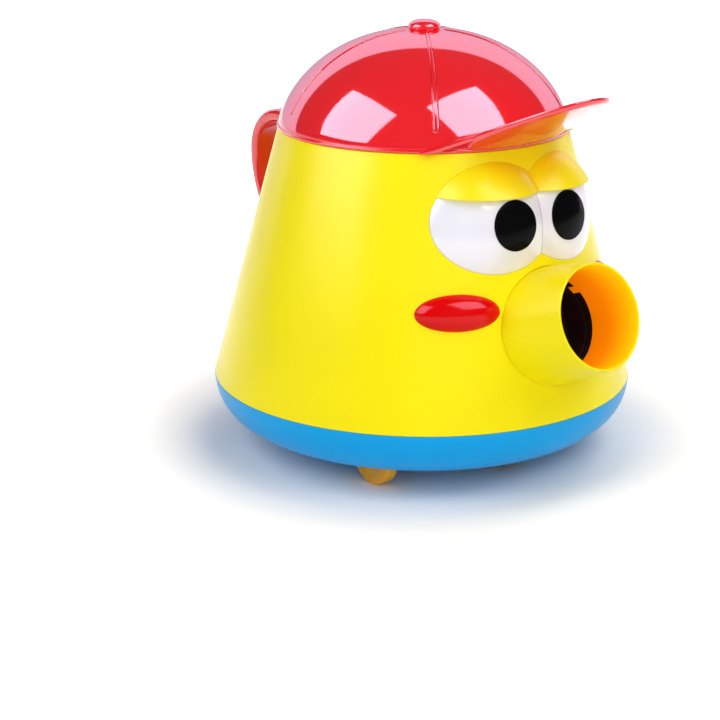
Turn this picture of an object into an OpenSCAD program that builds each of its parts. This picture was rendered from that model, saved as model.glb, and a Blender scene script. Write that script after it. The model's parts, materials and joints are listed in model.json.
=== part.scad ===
// Floor-rolling toy ball launcher: a cone-shaped body on a round base tray,
// a spout that fires small balls, a cap-shaped hopper lid and a carry handle.
// Front is -Y, up is +Z, the origin is on the floor under the middle of the base.

/* [Body] */
// Outside diameter of the body where it meets the base tray
body_d = 220; // [212:1:232]
// Outside diameter of the body at the cap rim
rim_d = 149.5; // [145:0.5:156]
// Height of the body from the tray seam to the cap rim
body_h = 130.5; // [127:0.5:138]
// Wall thickness of the moulded shells
wall = 2.4; // [2:0.1:2.8]
// Gap between pieces that sit close without touching
fit_gap = 0.3; // [0.25:0.05:0.4]
// Radial clearance of a shaft that turns in its hole
run_gap = 0.05; // [0.02:0.01:0.08]

/* [Base tray] */
// Ground clearance under the flat bottom
ground_gap = 12; // [11:0.5:14]
// Radius of the rounded tray edge, which is also the tray's depth
base_round = 25.5; // [24:0.5:28]
// Height of the locating lip above the seam
lip_h = 4; // [3:0.5:5]
// Screw diameter of every self-tapping screw
screw_d = 3; // [2.6:0.1:3.2]
// Distance of the base screws from the body axis
base_screw_at = 84; // [82:0.5:86]

/* [Spout] */
// Height above the seam where the spout axis leaves the wall
spout_exit_h = 45.6; // [44:0.2:48]
// Length of the spout axis from the wall to the mouth
spout_len = 34; // [30:0.5:38]
// Upward tilt of the spout
spout_tilt = 20.5; // [19:0.5:22]
// Outside diameter of the mouth
mouth_d = 52.6; // [51.5:0.1:54]
// Outside diameter where the spout meets the wall
spout_root_d = 61; // [60:0.5:63]
// Bore of the spout
spout_bore_d = 46; // [45:0.5:47]

/* [Cap] */
// Height of the dome above the rim
cap_h = 49; // [46:0.5:53]
// How far the lip band stands out over the dome
cap_lip = 1.2; // [0.8:0.1:1.6]
// Height of the lip band
cap_lip_h = 3; // [2.5:0.1:4]
// Height of the raised panel ribs
rib_h = 0.8; // [0.6:0.1:1.2]
// Width of a raised panel rib
rib_w = 3.4; // [3:0.1:4]
// Reach of the visor tip from the body axis
visor_reach = 121.5; // [117:0.5:126]
// Half width of the visor near the cap
visor_half_w = 31; // [28:0.5:36]
// Height of the visor's middle above the rim where it leaves the dome
visor_root_h = 8.4; // [7:0.2:9.4]
// Upward tilt of the visor
visor_tilt = 22; // [19:0.5:24]
// Visor thickness
visor_t = 2.6; // [2.2:0.1:3]
// Diameter of the crown button
button_d = 16.5; // [14:0.5:19]
// Height of the crown button
button_h = 6; // [5:0.5:7]
// Diameter of the hinge pin
hinge_pin_d = 3; // [2.6:0.1:3.4]
// Distance of the hinge pin behind the rim
hinge_back = 6.4; // [6:0.1:7]
// Height of the hinge pin above the rim
hinge_up = 2; // [1.5:0.1:2.5]

/* [Handle] */
// Finger space between the wall and the strap
handle_gap = 47; // [42:0.5:52]
// Drop of the strap's top face below the body rim
handle_drop = 6.5; // [5.5:0.5:8.5]
// Strap width
strap_w = 26; // [24:0.5:30]
// Strap thickness
strap_t = 6.5; // [6:0.1:7.5]
// Corner radius of the strap section
strap_round = 2.4; // [1.5:0.1:2.8]
// Bend radius at the top of the handle, at mid thickness
handle_top_r = 22; // [18:0.5:25]
// Bend radius of the grip, at mid thickness
handle_grip_r = 57; // [54:0.5:62]

/* [Face] */
// Height of the eye centres above the seam
eye_h = 98; // [96:0.5:100]
// Half the distance between the eye centres
eye_half = 22.5; // [21.5:0.5:24]
// Outline radius of an eye
eye_r = 25.5; // [24.5:0.5:27]
// How far an eye stands out of the wall
eye_bulge = 8; // [6.5:0.5:9.5]
// Pupil radius
pupil_r = 12.5; // [11:0.5:14]
// Pupil thickness
pupil_t = 0.7; // [0.5:0.1:1]
// Outline radius of a brow lobe
brow_r = 28.5; // [28:0.5:30]
// How far the brow stands out of the wall
brow_bulge = 13.5; // [12.5:0.5:15]
// Height of the brow's lower edge above the eye centres
brow_lift = 12.5; // [10:0.5:14]
// Height of the cheek centres above the seam
cheek_at_h = 57; // [55:0.5:60]
// Direction of the cheek centres from the front
cheek_turn = 27.5; // [27:0.1:30]
// Cheek width
cheek_w = 41; // [38:0.5:44]
// Cheek height
cheek_h = 18; // [16:0.5:20]
// How far a cheek stands out of the wall
cheek_bulge = 4.2; // [3.4:0.1:5]
// Diameter of the locating pegs behind the trim
peg_d = 5; // [4:0.5:6]

/* [Hopper and launch tube] */
// Bore of the launch tube
tube_bore_d = 39; // [38:0.5:40]
// Wall of the launch tube
tube_wall = 2; // [1.8:0.1:2.2]
// Depth of the ball inlet centre behind the wall, along the tube
feed_at = 51; // [49:0.5:53]
// Bore of the hopper throat
throat_d = 40; // [39:0.5:41]
// Slope of the hopper floor
hopper_slope = 20; // [18:0.5:23]
// Depth of the hopper rim below the body rim
hopper_drop = 3; // [2.5:0.5:4]
// Length of the launch tube behind the wall
tube_end = 93; // [92:0.5:95]

/* [Launch drive] */
// Module of the plunger rack and sector gear
rack_module = 1.25; // [1.2:0.05:1.3]
// Teeth that a full sector gear would have
sector_teeth = 20; // [20:1:20]
// Teeth left on the sector
sector_kept = 9; // [8:1:9]
// Plunger stroke
stroke = 28; // [24:0.5:28]
// Width of the plunger rod
rod_w = 8; // [7:0.5:9]
// Height of the plunger rod
rod_h = 10; // [9:0.5:10.5]
// Wire diameter of the plunger spring
spring_wire = 1.4; // [1.2:0.1:1.6]
// Mean radius of the plunger spring
spring_r = 10.4; // [10:0.1:11]
// Curls of the plunger spring
spring_turns = 7; // [5:1:8]
// Space between the launch frames
frame_gap = 45; // [44.5:0.5:48]
// Thickness of a launch frame
frame_t = 2.5; // [2:0.1:3]

/* [Gears and motors] */
// Module of the spur gears
gear_module = 0.7; // [0.65:0.05:0.7]
// Teeth of every pinion
pinion_teeth = 14; // [14:1:14]
// Teeth of both idler gears
idler_teeth = 26; // [24:1:26]
// Teeth of the gear on the drive axle
axle_teeth = 20; // [18:1:20]
// Teeth of the launch spur gear
spur_teeth = 44; // [42:1:46]
// Play in the mesh, as tooth thickness taken off
gear_slack = 0.22; // [0.16:0.02:0.26]
// Diameter of a motor can
motor_d = 20; // [19:0.5:20.5]
// Length of a motor can
motor_len = 25; // [23:0.5:27]
// Diameter of the gear shafts
shaft_d = 3; // [2.6:0.1:3.2]

/* [Wheels] */
// Diameter of the drive wheels
wheel_d = 28; // [27:0.5:29]
// Width of the drive wheels
wheel_w = 8; // [7:0.5:9]
// Half the track of the drive wheels
wheel_x = 66; // [63:0.5:67]
// Distance of the drive axle in front of the body axis
axle_front = 42; // [40:0.5:44]
// Diameter of the caster wheel
caster_d = 18; // [17:0.5:19]
// Distance of the caster swivel behind the body axis
caster_back = 69; // [67:0.5:70]
// Trail of the caster wheel behind its swivel
caster_trail = 6; // [5:0.5:7]

/* [Power] */
// Diameter of a battery cell
cell_d = 14.5; // [14:0.1:14.5]
// Length of a battery cell
cell_len = 50.5; // [49:0.5:50.5]
// Cells side by side
cells = 3; // [3:1:3]
// Diameter of the speaker
speaker_d = 36; // [32:1:38]
// Travel of the power switch
switch_travel = 5; // [4:0.5:6]

/* [Hidden] */
$fn = 160;

// Colours
yellow = "#fbe50c";
red = "#e2202a";
blue = "#129fe4";
white = "#eef0f6";
black = "#15161a";
grey = "#5c6066";
steel = "#b9bec4";
brass = "#c9a24a";
green = "#1f6b3a";

// Overshoot of a cutting shape
cut = 1;

// Levels and the body cone
seam_z = ground_gap + base_round;
rim_z = seam_z + body_h;
floor_z = ground_gap + wall;
lip_root = 3;
seam_r = body_d / 2;
rim_r = rim_d / 2;
lean = atan((seam_r - rim_r) / body_h);
function wall_r(z) = seam_r + (rim_r - seam_r) * (z - seam_z) / body_h;

// Spout axis
exit_z = seam_z + spout_exit_h;
exit_y = -wall_r(exit_z);
spout_step = 1.6;
neck_r = spout_root_d / 2 - spout_step;
spout_end = 14;
spout_flange_w = 4;
spout_flange_t = 3;
spout_flange_r = neck_r + spout_flange_w;
lip_r = (mouth_d - spout_bore_d) / 4;

// Launch tube and hopper
tube_bore_r = tube_bore_d / 2;
tube_r = tube_bore_r + tube_wall;
tube_start = spout_end;
tube_flange_r = neck_r + spout_flange_w / 2;
tube_flange_t = 2.5;
tube_bell = 6;
sleeve_at = 1;
sleeve_r = spout_bore_d / 2 + tube_wall;
key_turn = 45;
key_w = 6;
key_len = 4;
tube_back_t = 3;
feed_y = exit_y + feed_at * cos(spout_tilt);
feed_z = exit_z - feed_at * sin(spout_tilt);
throat_r = throat_d / 2;
throat_wall = 2;
throat_lift = 6;
inlet_z = feed_z + throat_lift;
funnel_reach = body_d;
ledge_w = 5.5;
ledge_t = 2;
hopper_inset = wall + ledge_w;
hopper_wall = 1.8;
hopper_flange_t = 2;
ledge_z = rim_z - hopper_drop - hopper_flange_t;

// Plunger, rack and sector gear, along the tube axis
plunger_t = 4;
plunger_lead = 5;
plunger_at = feed_at - plunger_lead;
plunger_gap = 0.6;
rack_pitch = PI * rack_module;
sector_r = rack_module * sector_teeth / 2;
mesh_gap = 0.08;
sector_at = tube_end + gear_module * (spur_teeth / 2 + 1) + 1;
sector_up = rod_h / 2 + 1.2 * rack_module + sector_r + mesh_gap;
sector_w = 7;
rod_end = sector_at + 10;
rack_first = sector_at - (ceil(stroke / rack_pitch) + 0.5) * rack_pitch;
rack_count = ceil(stroke / rack_pitch) + 2;
sector_hub_r = sector_r - 2.4 * rack_module;
sector_shaft_r = 2;

// Launch gear train, along the tube axis and up from it
spur_r = gear_module * spur_teeth / 2;
pinion_r = gear_module * pinion_teeth / 2;
idler_r = gear_module * idler_teeth / 2;
shaft_r = shaft_d / 2;
idler_turn = 62;
launch_idler_at = sector_at + (spur_r + pinion_r + mesh_gap) * cos(idler_turn);
launch_idler_up = sector_up + (spur_r + pinion_r + mesh_gap) * sin(idler_turn);
motor_turn = 20;
launch_motor_at = launch_idler_at + (idler_r + pinion_r + mesh_gap) * cos(motor_turn);
launch_motor_up = launch_idler_up + (idler_r + pinion_r + mesh_gap) * sin(motor_turn);
spur_x = sector_w / 2 + 1;
spur_w = 4.5;
idler_x = spur_x + spur_w + 1.2;
idler_w = 3.5;
motor_shaft_r = 1;
motor_shaft_in = 5;
frame_x = frame_gap / 2;
trunnion_at = tube_end - 9;
trunnion_r = 4;

// Points along the tube axis, seen from the side
function tube_y(along, up) = exit_y + along * cos(spout_tilt) + up * sin(spout_tilt);
function tube_z(along, up) = exit_z - along * sin(spout_tilt) + up * cos(spout_tilt);

// Hopper floor, which clears the top of the spout's flange
flange_top_out = feed_y - tube_y(0, spout_flange_r) - throat_r;
funnel_z = tube_z(0, spout_flange_r) - flange_top_out * tan(hopper_slope)
    + hopper_wall / cos(hopper_slope) + 4 * fit_gap;

// Battery bay, at the back of the toy's right side
bay_gap = 0.8;
bay_wall = 1.6;
bay_len = cell_len + 6;
bay_w = cells * (cell_d + bay_gap) + bay_gap;
contact_t = 2.2;
contact_r = 4;
cell_tip_r = 2.7;
cell_tip_h = 1.5;
bay_x = -38;
bay_y = 26;
cell_z = floor_z + bay_gap + cell_d / 2;
deck_z = cell_z + cell_d / 2 + bay_gap + bay_wall;
door_t = 1.4;
door_edge = 2.5;
door_screw_x = bay_x + bay_len / 2 + door_edge + 2;
door_boss_h = 8;
grip_count = 5;
grip_pitch = 3;
grip_half_w = 8;

// Launch frame feet
foot_t = 2.4;
foot_screw = 6;
foot_w = 11;
foot_end = 5;
foot_y = [8, 36];
foot_z = deck_z + 7;
post_r = 3.6;

// Drive train
axle_r = shaft_r;
axle_z = wheel_d / 2;
axle_gear_r = gear_module * axle_teeth / 2;
axle_gear_w = 4;
drive_turn = 145;
drive_idler_y = -axle_front + (axle_gear_r + pinion_r + mesh_gap) * cos(drive_turn);
drive_idler_z = axle_z + (axle_gear_r + pinion_r + mesh_gap) * sin(drive_turn);
drive_motor_turn = 165;
drive_motor_y = drive_idler_y + (idler_r + pinion_r + mesh_gap) * cos(drive_motor_turn);
drive_motor_z = drive_idler_z + (idler_r + pinion_r + mesh_gap) * sin(drive_motor_turn);
drive_large_x = -1;
drive_small_x = drive_large_x - axle_gear_w - 1.2;
box_wall = 1.4;
box_half = 9;
box_flange = 6;
box_front = drive_motor_y - pinion_r - 4;
box_back = -axle_front + axle_gear_r + 3.5;
box_low = axle_z - axle_gear_r - gear_module - 0.6 - box_wall;
box_high = drive_motor_z + pinion_r + 3.5;
well_gap = 1.6;
tyre_t = 2.2;
tyre_edge = 0.6;
wheel_dish = 0.8;
hub_w = 2.5;
wheel_ring_w = 2;

// Caster
caster_r = caster_d / 2;
caster_w = 7;
caster_pin_r = 1.25;
fork_t = 2;
fork_gap = 0.4;
fork_edge = 5;
fork_plate_t = 2.4;
fork_z = caster_d + 2.2;
stem_r = 3;
stem_h = 9;
leg_r = 4;
caster_well_r = caster_trail + caster_r + 3;
caster_well_z = fork_z + fork_plate_t + fit_gap;

// Switch, circuit board and speaker, on the toy's left side
switch_x = 34;
switch_y = 57;
switch_w = 9;
switch_len = 18;
switch_h = 6;
switch_top_t = 2;
knob_out = 1.5;
knob_w = 4;
knob_len = 6;
board_x = [25, 58];
board_y = [44, 70];
board_t = 1.6;
chip_low = [39, 50];
chip_size = [12, 6];
chip_t = 2;
board_z = floor_z + switch_h + 1;
speaker_x = 51;
speaker_y = 21;
speaker_h = 9;
speaker_rim = 3;
grille_step = 5.5;
grille_r = 1.5;

// Screws
screw_r = screw_d / 2;
head_r = screw_d;
head_t = 2;
screw_sink = 1.5;
base_screw_turns = [30, 115, -115, -30];
boss_r = 4.2;
boss_h = 16;
boss_bite = 0.6;
boss_rib_t = 1.8;

// Eyes, brow and cheeks
eye_turn = asin(eye_half / wall_r(seam_z + eye_h));
eye_ball_r = (eye_r * eye_r + eye_bulge * eye_bulge) / (2 * eye_bulge);
brow_ball_r = (brow_r * brow_r + brow_bulge * brow_bulge) / (2 * brow_bulge);
brow_z = seam_z + eye_h + brow_lift;
pupil_in = 7;
pupil_down = 3;
cheek_minor = (cheek_h * cheek_h / 4 + cheek_bulge * cheek_bulge) / (2 * cheek_bulge);
cheek_major = cheek_w * cheek_minor / cheek_h;
peg_len = 3;

// Cap
cap_z = rim_z + fit_gap;
hinge_y = rim_r + hinge_back;
hinge_z = rim_z + hinge_up;
hinge_pin_r = hinge_pin_d / 2;
knuckle_r = hinge_pin_r + 2.1;
knuckle_half = 7;
ear_t = 5;
rib_turn = 72;
rib_stop_h = 17.5;
visor_nose = 60;
visor_arch_r = 385;
visor_foot = 1.6;
dome_step = 5;

// Handle
handle_high_z = rim_z - handle_drop - strap_t / 2;
strap_mid_y = wall_r(handle_high_z - handle_top_r + strap_t / 2) + handle_gap + strap_t / 2;
strap_mid_z = handle_high_z - handle_top_r;
handle_grip_sweep = 84;
handle_low_z = strap_mid_z - handle_grip_r + strap_t;
handle_screw_in = 7;
handle_screw_z = [handle_low_z, handle_high_z - cut];

// Shared frames and shapes

// Turns the shape's axis into the tube axis, which starts at the wall and runs backwards and down
module on_tube() {
    translate([0, exit_y, exit_z]) rotate([-spout_tilt, 0, 0]) children();
}

// Turns a shape that stands on Z so that it runs backwards along Y
module along_y() {
    rotate([-90, 0, 0]) children();
}

// Turns a flat shape into the side view, extruded along X
module side_on() {
    rotate([90, 0, 90]) children();
}

// Puts a shape on the outside of the body wall, with Z along the wall's normal
module on_wall(h, turn) {
    rotate([0, 0, turn])
        translate([0, -wall_r(seam_z + h), seam_z + h])
            rotate([90 - lean, 0, 0]) children();
}

// Solid body cone between two heights, a distance inside the outer face
module body_cone(inset, z_low, z_high) {
    translate([0, 0, z_low])
        cylinder(h = z_high - z_low, r1 = wall_r(z_low) - inset, r2 = wall_r(z_high) - inset);
}

// Everything inside the body's outer face, cut past its ends
module body_inside(inset) {
    body_cone(inset, seam_z - cut, rim_z + body_h / 2);
}

// A ring around Z
module ring(r_out, r_in, h) {
    difference() {
        cylinder(h = h, r = r_out);
        translate([0, 0, -cut]) cylinder(h = h + 2 * cut, r = r_in);
    }
}

// A box from its lowest and highest corners
module block(low, high) {
    translate(low) cube(high - low);
}

// A self-tapping screw that points along +Z, with its head below the origin
module screw(len) {
    cylinder(h = len, r = screw_r);
    translate([0, 0, -head_t]) cylinder(h = head_t, r = head_r);
}

// Involute gears
pressure = 20;
function inv(a) = tan(a) * 180 / PI - a;
function tooth_half(n, m, r) =
    let (pitch_r = n * m / 2, base_r = pitch_r * cos(pressure))
    90 / n - gear_slack * 90 / (PI * pitch_r) + inv(pressure) - inv(acos(base_r / max(r, base_r)));
function polar(r, a) = [r * cos(a), r * sin(a)];

// Outline of a gear with a tooth on +X; only the first kept teeth are cut, counting clockwise
module gear_outline(n, m, kept) {
    pitch_r = n * m / 2;
    root_r = pitch_r - 1.2 * m;
    tip_r = pitch_r + 0.85 * m;
    flank = [for (k = [0:4]) root_r + (tip_r - root_r) * k / 4];
    points = [for (i = [0:n - 1]) let (a = 360 * i / n) each
        (i == 0 || i > n - kept
            ? concat([for (r = flank) polar(r, a - tooth_half(n, m, r))],
                [for (k = [4:-1:0]) polar(flank[k], a + tooth_half(n, m, flank[k]))])
            : [polar(root_r, a)])];
    polygon(points);
}

// A spur gear that lies across X, turned so that a tooth points along turn
module spur(n, m, w, turn, kept) {
    side_on() linear_extrude(w) rotate(turn) gear_outline(n, m, kept);
}

// A round bar along X
module bar_x(r, x_low, x_high) {
    translate([x_low, 0, 0]) rotate([0, 90, 0]) cylinder(h = x_high - x_low, r = r);
}

// A small direct-current motor along X, with its front face at the origin and its can towards +X
module can_motor() {
    intersection() {
        bar_x(motor_d / 2, 0, motor_len);
        block([-cut, -motor_d, -motor_d * 0.375], [motor_len + cut, motor_d, motor_d * 0.375]);
    }
    bar_x(motor_d * 0.15, motor_len - cut, motor_len + 2);
}

// Base

// Solid tray bowl, a distance inside its outer face
module tray_bowl(inset) {
    r = base_round - inset;
    rotate_extrude() {
        translate([seam_r - base_round, seam_z]) intersection() {
            circle(r);
            translate([0, -r]) square(r);
        }
        translate([0, seam_z - r]) square([seam_r - base_round, r]);
    }
}

// Places a shape at each base screw
module at_base_screws() {
    for (turn = base_screw_turns) rotate([0, 0, turn]) translate([0, -base_screw_at, 0]) children();
}

// Places a shape on each post that carries a launch frame's foot
module at_feet() {
    for (side = [-1, 1], y = foot_y)
        translate([side * (frame_x + frame_t + foot_w / 2), y, foot_z]) children();
}

// Walls that stand in the tray: wheel arches, axle tunnel, caster well, battery bay and posts
module tray_walls() {
    for (side = [-1, 1]) wheel_arch(side, bay_wall);
    axle_tunnel(bay_wall);
    translate([0, caster_back, ground_gap])
        cylinder(h = caster_well_z + wall - ground_gap, r = caster_well_r + bay_wall);
    translate([0, caster_back, caster_well_z]) cylinder(h = stem_h, r = stem_r + 2.4);
    block([bay_x - bay_len / 2 - bay_wall, bay_y - bay_w / 2 - bay_wall, ground_gap],
        [bay_x + bay_len / 2 + bay_wall, bay_y + bay_w / 2 + bay_wall, deck_z]);
    translate([door_screw_x, bay_y, ground_gap]) cylinder(h = wall + door_boss_h, r = boss_r);
    at_base_screws() translate([0, 0, ground_gap]) cylinder(h = base_round, r = boss_r);
    at_feet() translate([0, 0, ground_gap - foot_z]) cylinder(h = foot_z - ground_gap, r = post_r);
    for (x = board_x) translate([x, board_y[1] - post_r, ground_gap])
        cylinder(h = board_z - ground_gap, r = post_r);
}

// The box around a drive wheel, or the space in it
module wheel_arch(side, grow) {
    half_w = wheel_w / 2 + well_gap + grow;
    half_l = wheel_d / 2 + well_gap + grow;
    translate([side * wheel_x, -axle_front, axle_z]) {
        bar_x(half_l, -half_w, half_w);
        block([-half_w, -half_l, -axle_z], [half_w, half_l, 0]);
    }
}

// The tunnel over the drive axle, open below, or the space in it
module axle_tunnel(grow) {
    r = axle_r + well_gap + grow;
    translate([0, -axle_front, axle_z]) {
        bar_x(r, -wheel_x, wheel_x);
        block([-wheel_x, -r, -axle_z], [wheel_x, r, 0]);
    }
}

// Holes in the tray: wheel wells, axle slot, gearbox opening, caster well, battery bay, switch slot
// and speaker grille
module tray_cuts() {
    for (side = [-1, 1]) wheel_arch(side, 0);
    axle_tunnel(0);
    block([-box_half - fit_gap, box_front - fit_gap, 0],
        [box_half + fit_gap, box_back + fit_gap, box_high + cut]);
    translate([0, caster_back, 0]) cylinder(h = caster_well_z, r = caster_well_r);
    translate([0, caster_back, 0]) cylinder(h = seam_z + cut, r = stem_r + run_gap);
    block([bay_x - bay_len / 2, bay_y - bay_w / 2, 0],
        [bay_x + bay_len / 2, bay_y + bay_w / 2, deck_z - bay_wall]);
    door_plate(0, 0, ground_gap + door_t);
    translate([door_screw_x, bay_y, 0]) cylinder(h = floor_z + door_boss_h - cut, r = screw_r);
    at_base_screws() {
        cylinder(h = seam_z + cut, r = screw_r);
        cylinder(h = ground_gap + head_t + screw_sink, r = head_r + fit_gap);
    }
    at_feet() translate([0, 0, -foot_screw]) cylinder(h = foot_screw + cut, r = screw_r);
    knob_slot(0, floor_z + cut);
    for (row = [-2:2], column = [-2:2])
        if (abs(row) + abs(column) < 4)
            translate([speaker_x + grille_step * row, speaker_y + grille_step * column, 0])
                cylinder(h = floor_z + cut, r = grille_r);
}

module base_tray() color(blue) {
    lip_out = wall_r(seam_z + lip_h) - wall - fit_gap;
    difference() {
        union() {
            difference() {
                tray_bowl(0);
                tray_bowl(wall);
                translate([0, 0, seam_z - cut]) cylinder(h = 2 * cut, r = seam_r - wall);
            }
            intersection() {
                tray_bowl(0);
                tray_walls();
            }
            translate([0, 0, seam_z - lip_root]) {
                ring(lip_out, lip_out - wall, lip_h + lip_root);
                ring(seam_r - wall / 2, lip_out - wall, lip_root);
            }
        }
        tray_cuts();
    }
}

module base_screws() color(steel) {
    at_base_screws() translate([0, 0, ground_gap + head_t + screw_sink])
        screw(base_round + boss_h * boss_bite);
}

// Body

// Screw bosses inside the body shell, each tied to the wall by a rib
module shell_bosses() {
    at_base_screws() {
        translate([0, 0, seam_z]) cylinder(h = boss_h, r = boss_r);
        block([-boss_rib_t / 2, -seam_r, seam_z + lip_h + fit_gap], [boss_rib_t / 2, 0, seam_z + boss_h]);
    }
}

module body_shell() color(yellow) {
    difference() {
        union() {
            difference() {
                body_cone(0, seam_z, rim_z);
                body_inside(wall);
            }
            difference() {
                body_cone(wall / 2, ledge_z - ledge_t, ledge_z);
                translate([0, 0, seam_z])
                    cylinder(h = body_h, r = wall_r(ledge_z - ledge_t) - hopper_inset + fit_gap);
            }
            intersection() {
                body_inside(wall / 2);
                shell_bosses();
            }
        }
        at_base_screws() translate([0, 0, seam_z - cut]) cylinder(h = boss_h - 1, r = screw_r);
        on_tube() translate([0, -spout_end, 0]) along_y() cylinder(h = 3 * spout_end, r = neck_r + fit_gap);
        for (side = [-1, 1]) {
            on_wall(eye_h, side * eye_turn) peg_hole();
            on_wall(cheek_at_h, side * cheek_turn) peg_hole();
        }
        for (z = handle_screw_z)
            translate([0, 0, z]) along_y() cylinder(h = seam_r + cut, r = screw_r + run_gap);
    }
}

module peg() {
    translate([0, 0, -wall - peg_len]) cylinder(h = wall + peg_len + cut, r = peg_d / 2);
}

module peg_hole() {
    translate([0, 0, -2 * wall - peg_len]) cylinder(h = 4 * wall + peg_len, r = peg_d / 2 + run_gap);
}

// Spout

// The outside of the spout, grown outwards
module spout_cone(grow) {
    on_tube() along_y() translate([0, 0, lip_r - spout_len])
        cylinder(h = spout_len - lip_r + spout_end, r1 = mouth_d / 2 + grow, r2 = spout_root_d / 2 + grow);
}

module spout() color(yellow) {
    mouth_y = -spout_len + lip_r;
    bore_r = spout_bore_d / 2;
    on_tube() along_y() rotate_extrude() translate([bore_r + lip_r, mouth_y]) circle(lip_r);
    difference() {
        union() {
            difference() {
                spout_cone(0);
                body_inside(0);
            }
            on_tube() translate([0, -spout_end / 2, 0]) along_y() cylinder(h = 1.5 * spout_end, r = neck_r);
            difference() {
                intersection() {
                    on_tube() translate([0, -spout_end, 0]) along_y()
                        cylinder(h = 2 * spout_end, r = spout_flange_r);
                    body_inside(wall);
                }
                body_inside(wall + spout_flange_t);
            }
        }
        on_tube() translate([0, mouth_y - cut, 0]) along_y()
            cylinder(h = spout_len + spout_end + 2 * cut, r = bore_r);
        on_tube() translate([0, mouth_y - cut, 0]) along_y() ring(mouth_d, bore_r - cut, cut);
        on_tube() translate([0, sleeve_at - fit_gap, 0]) along_y()
            cylinder(h = spout_end, r = sleeve_r + fit_gap);
    }
    bore_key(bore_r + fit_gap, 0);
}

// The key in the spout that stops the launch tube's sleeve from turning, grown sideways
module bore_key(inner_r, grow) {
    on_tube() along_y() rotate([0, 0, -key_turn])
        block([inner_r, -key_w / 2 - grow, sleeve_at - 2 * fit_gap],
            [sleeve_r + 2 * fit_gap, key_w / 2 + grow, sleeve_at + key_len + grow]);
}

// Face

module eye(side) {
    difference() {
        on_wall(eye_h, side * eye_turn) translate([0, 0, eye_bulge - eye_ball_r]) sphere(eye_ball_r);
        body_inside(0);
        half_space_x(-side);
    }
    on_wall(eye_h, side * eye_turn) peg();
}

// Everything past the middle plane on one side, less half a gap
module half_space_x(side) {
    reach = body_d;
    translate([side > 0 ? -fit_gap / 2 : fit_gap / 2 - reach, -reach, 0]) cube([reach, reach, 2 * reach]);
}

module pupil(side) {
    on_wall(eye_h, side * eye_turn) intersection() {
        difference() {
            translate([0, 0, eye_bulge - eye_ball_r]) sphere(eye_ball_r + pupil_t);
            translate([0, 0, eye_bulge - eye_ball_r]) sphere(eye_ball_r);
        }
        translate([-side * pupil_in, -pupil_down, 0]) cylinder(h = 2 * eye_bulge, r = pupil_r);
    }
}

module left_eye() color(white) eye(1);
module right_eye() color(white) eye(-1);
module left_pupil() color(black) pupil(1);
module right_pupil() color(black) pupil(-1);

module brow_hood() color(yellow) {
    difference() {
        for (side = [-1, 1])
            on_wall(eye_h, side * eye_turn) translate([0, 0, brow_bulge - brow_ball_r]) sphere(brow_ball_r);
        body_inside(0);
        for (side = [-1, 1])
            on_wall(eye_h, side * eye_turn) translate([0, 0, eye_bulge - eye_ball_r]) sphere(eye_ball_r);
        translate([0, 0, brow_z - body_h]) cylinder(h = body_h, r = body_d);
        translate([0, 0, rim_z - 2 * fit_gap]) cylinder(h = body_h, r = body_d);
    }
}

module cheek(side) {
    difference() {
        on_wall(cheek_at_h, side * cheek_turn) translate([0, 0, cheek_bulge - cheek_minor])
            rotate([0, 90, 0]) rotate_extrude()
                polygon([for (a = [0:7.5:180]) [cheek_minor * sin(a), -cheek_major * cos(a)]]);
        body_inside(0);
        spout_cone(fit_gap);
    }
    on_wall(cheek_at_h, side * cheek_turn) peg();
}

module left_cheek() color(red) cheek(1);
module right_cheek() color(red) cheek(-1);

// Handle

// Strap section: thickness along X, width along Y
module strap_section() {
    t = strap_t / 2 - strap_round;
    w = strap_w / 2 - strap_round;
    square([strap_t, 2 * w], center = true);
    square([2 * t, strap_w], center = true);
    for (x = [-t, t], y = [-w, w]) translate([x, y]) circle(strap_round);
}

module handle() color(red) {
    difference() {
        union() {
            translate([0, strap_mid_y - handle_top_r, strap_mid_z]) side_on()
                rotate_extrude(angle = 90) translate([handle_top_r, 0]) strap_section();
            translate([0, strap_mid_y - handle_grip_r, strap_mid_z]) side_on() mirror([0, 1, 0])
                rotate_extrude(angle = handle_grip_sweep) translate([handle_grip_r, 0]) strap_section();
            translate([0, strap_mid_y - handle_top_r, handle_high_z]) rotate([90, 0, 0])
                linear_extrude(strap_mid_y - handle_top_r) rotate(90) strap_section();
            for (side = [-1, 1]) hinge_ear(side);
        }
        body_inside(0);
        translate([0, 0, seam_z - body_h]) cylinder(h = body_h, r = body_d);
        translate([0, hinge_y, hinge_z]) bar_x(hinge_pin_r, -strap_w, strap_w);
        for (z = handle_screw_z)
            translate([0, 0, z]) along_y() cylinder(h = wall_r(z) + handle_screw_in + cut, r = screw_r);
    }
}

// One of the two ears that carry the hinge pin, standing on the top of the strap
module hinge_ear(side) {
    x = side > 0 ? knuckle_half + fit_gap : -knuckle_half - fit_gap - ear_t;
    translate([0, hinge_y, hinge_z]) bar_x(knuckle_r, x, x + ear_t);
    block([x, hinge_y - knuckle_r, handle_high_z], [x + ear_t, hinge_y + knuckle_r, hinge_z]);
}

module handle_screws() color(steel) {
    for (z = handle_screw_z)
        translate([0, wall_r(z) - wall - head_r * tan(lean) - run_gap, z]) along_y()
            screw(wall + handle_screw_in);
}

// Hopper

// The cone-shaped hopper floor, a distance below its top face
module funnel(depth) {
    translate([0, feed_y, funnel_z - depth / cos(hopper_slope)])
        cylinder(h = funnel_reach * tan(hopper_slope), r1 = throat_r, r2 = throat_r + funnel_reach);
}

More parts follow.
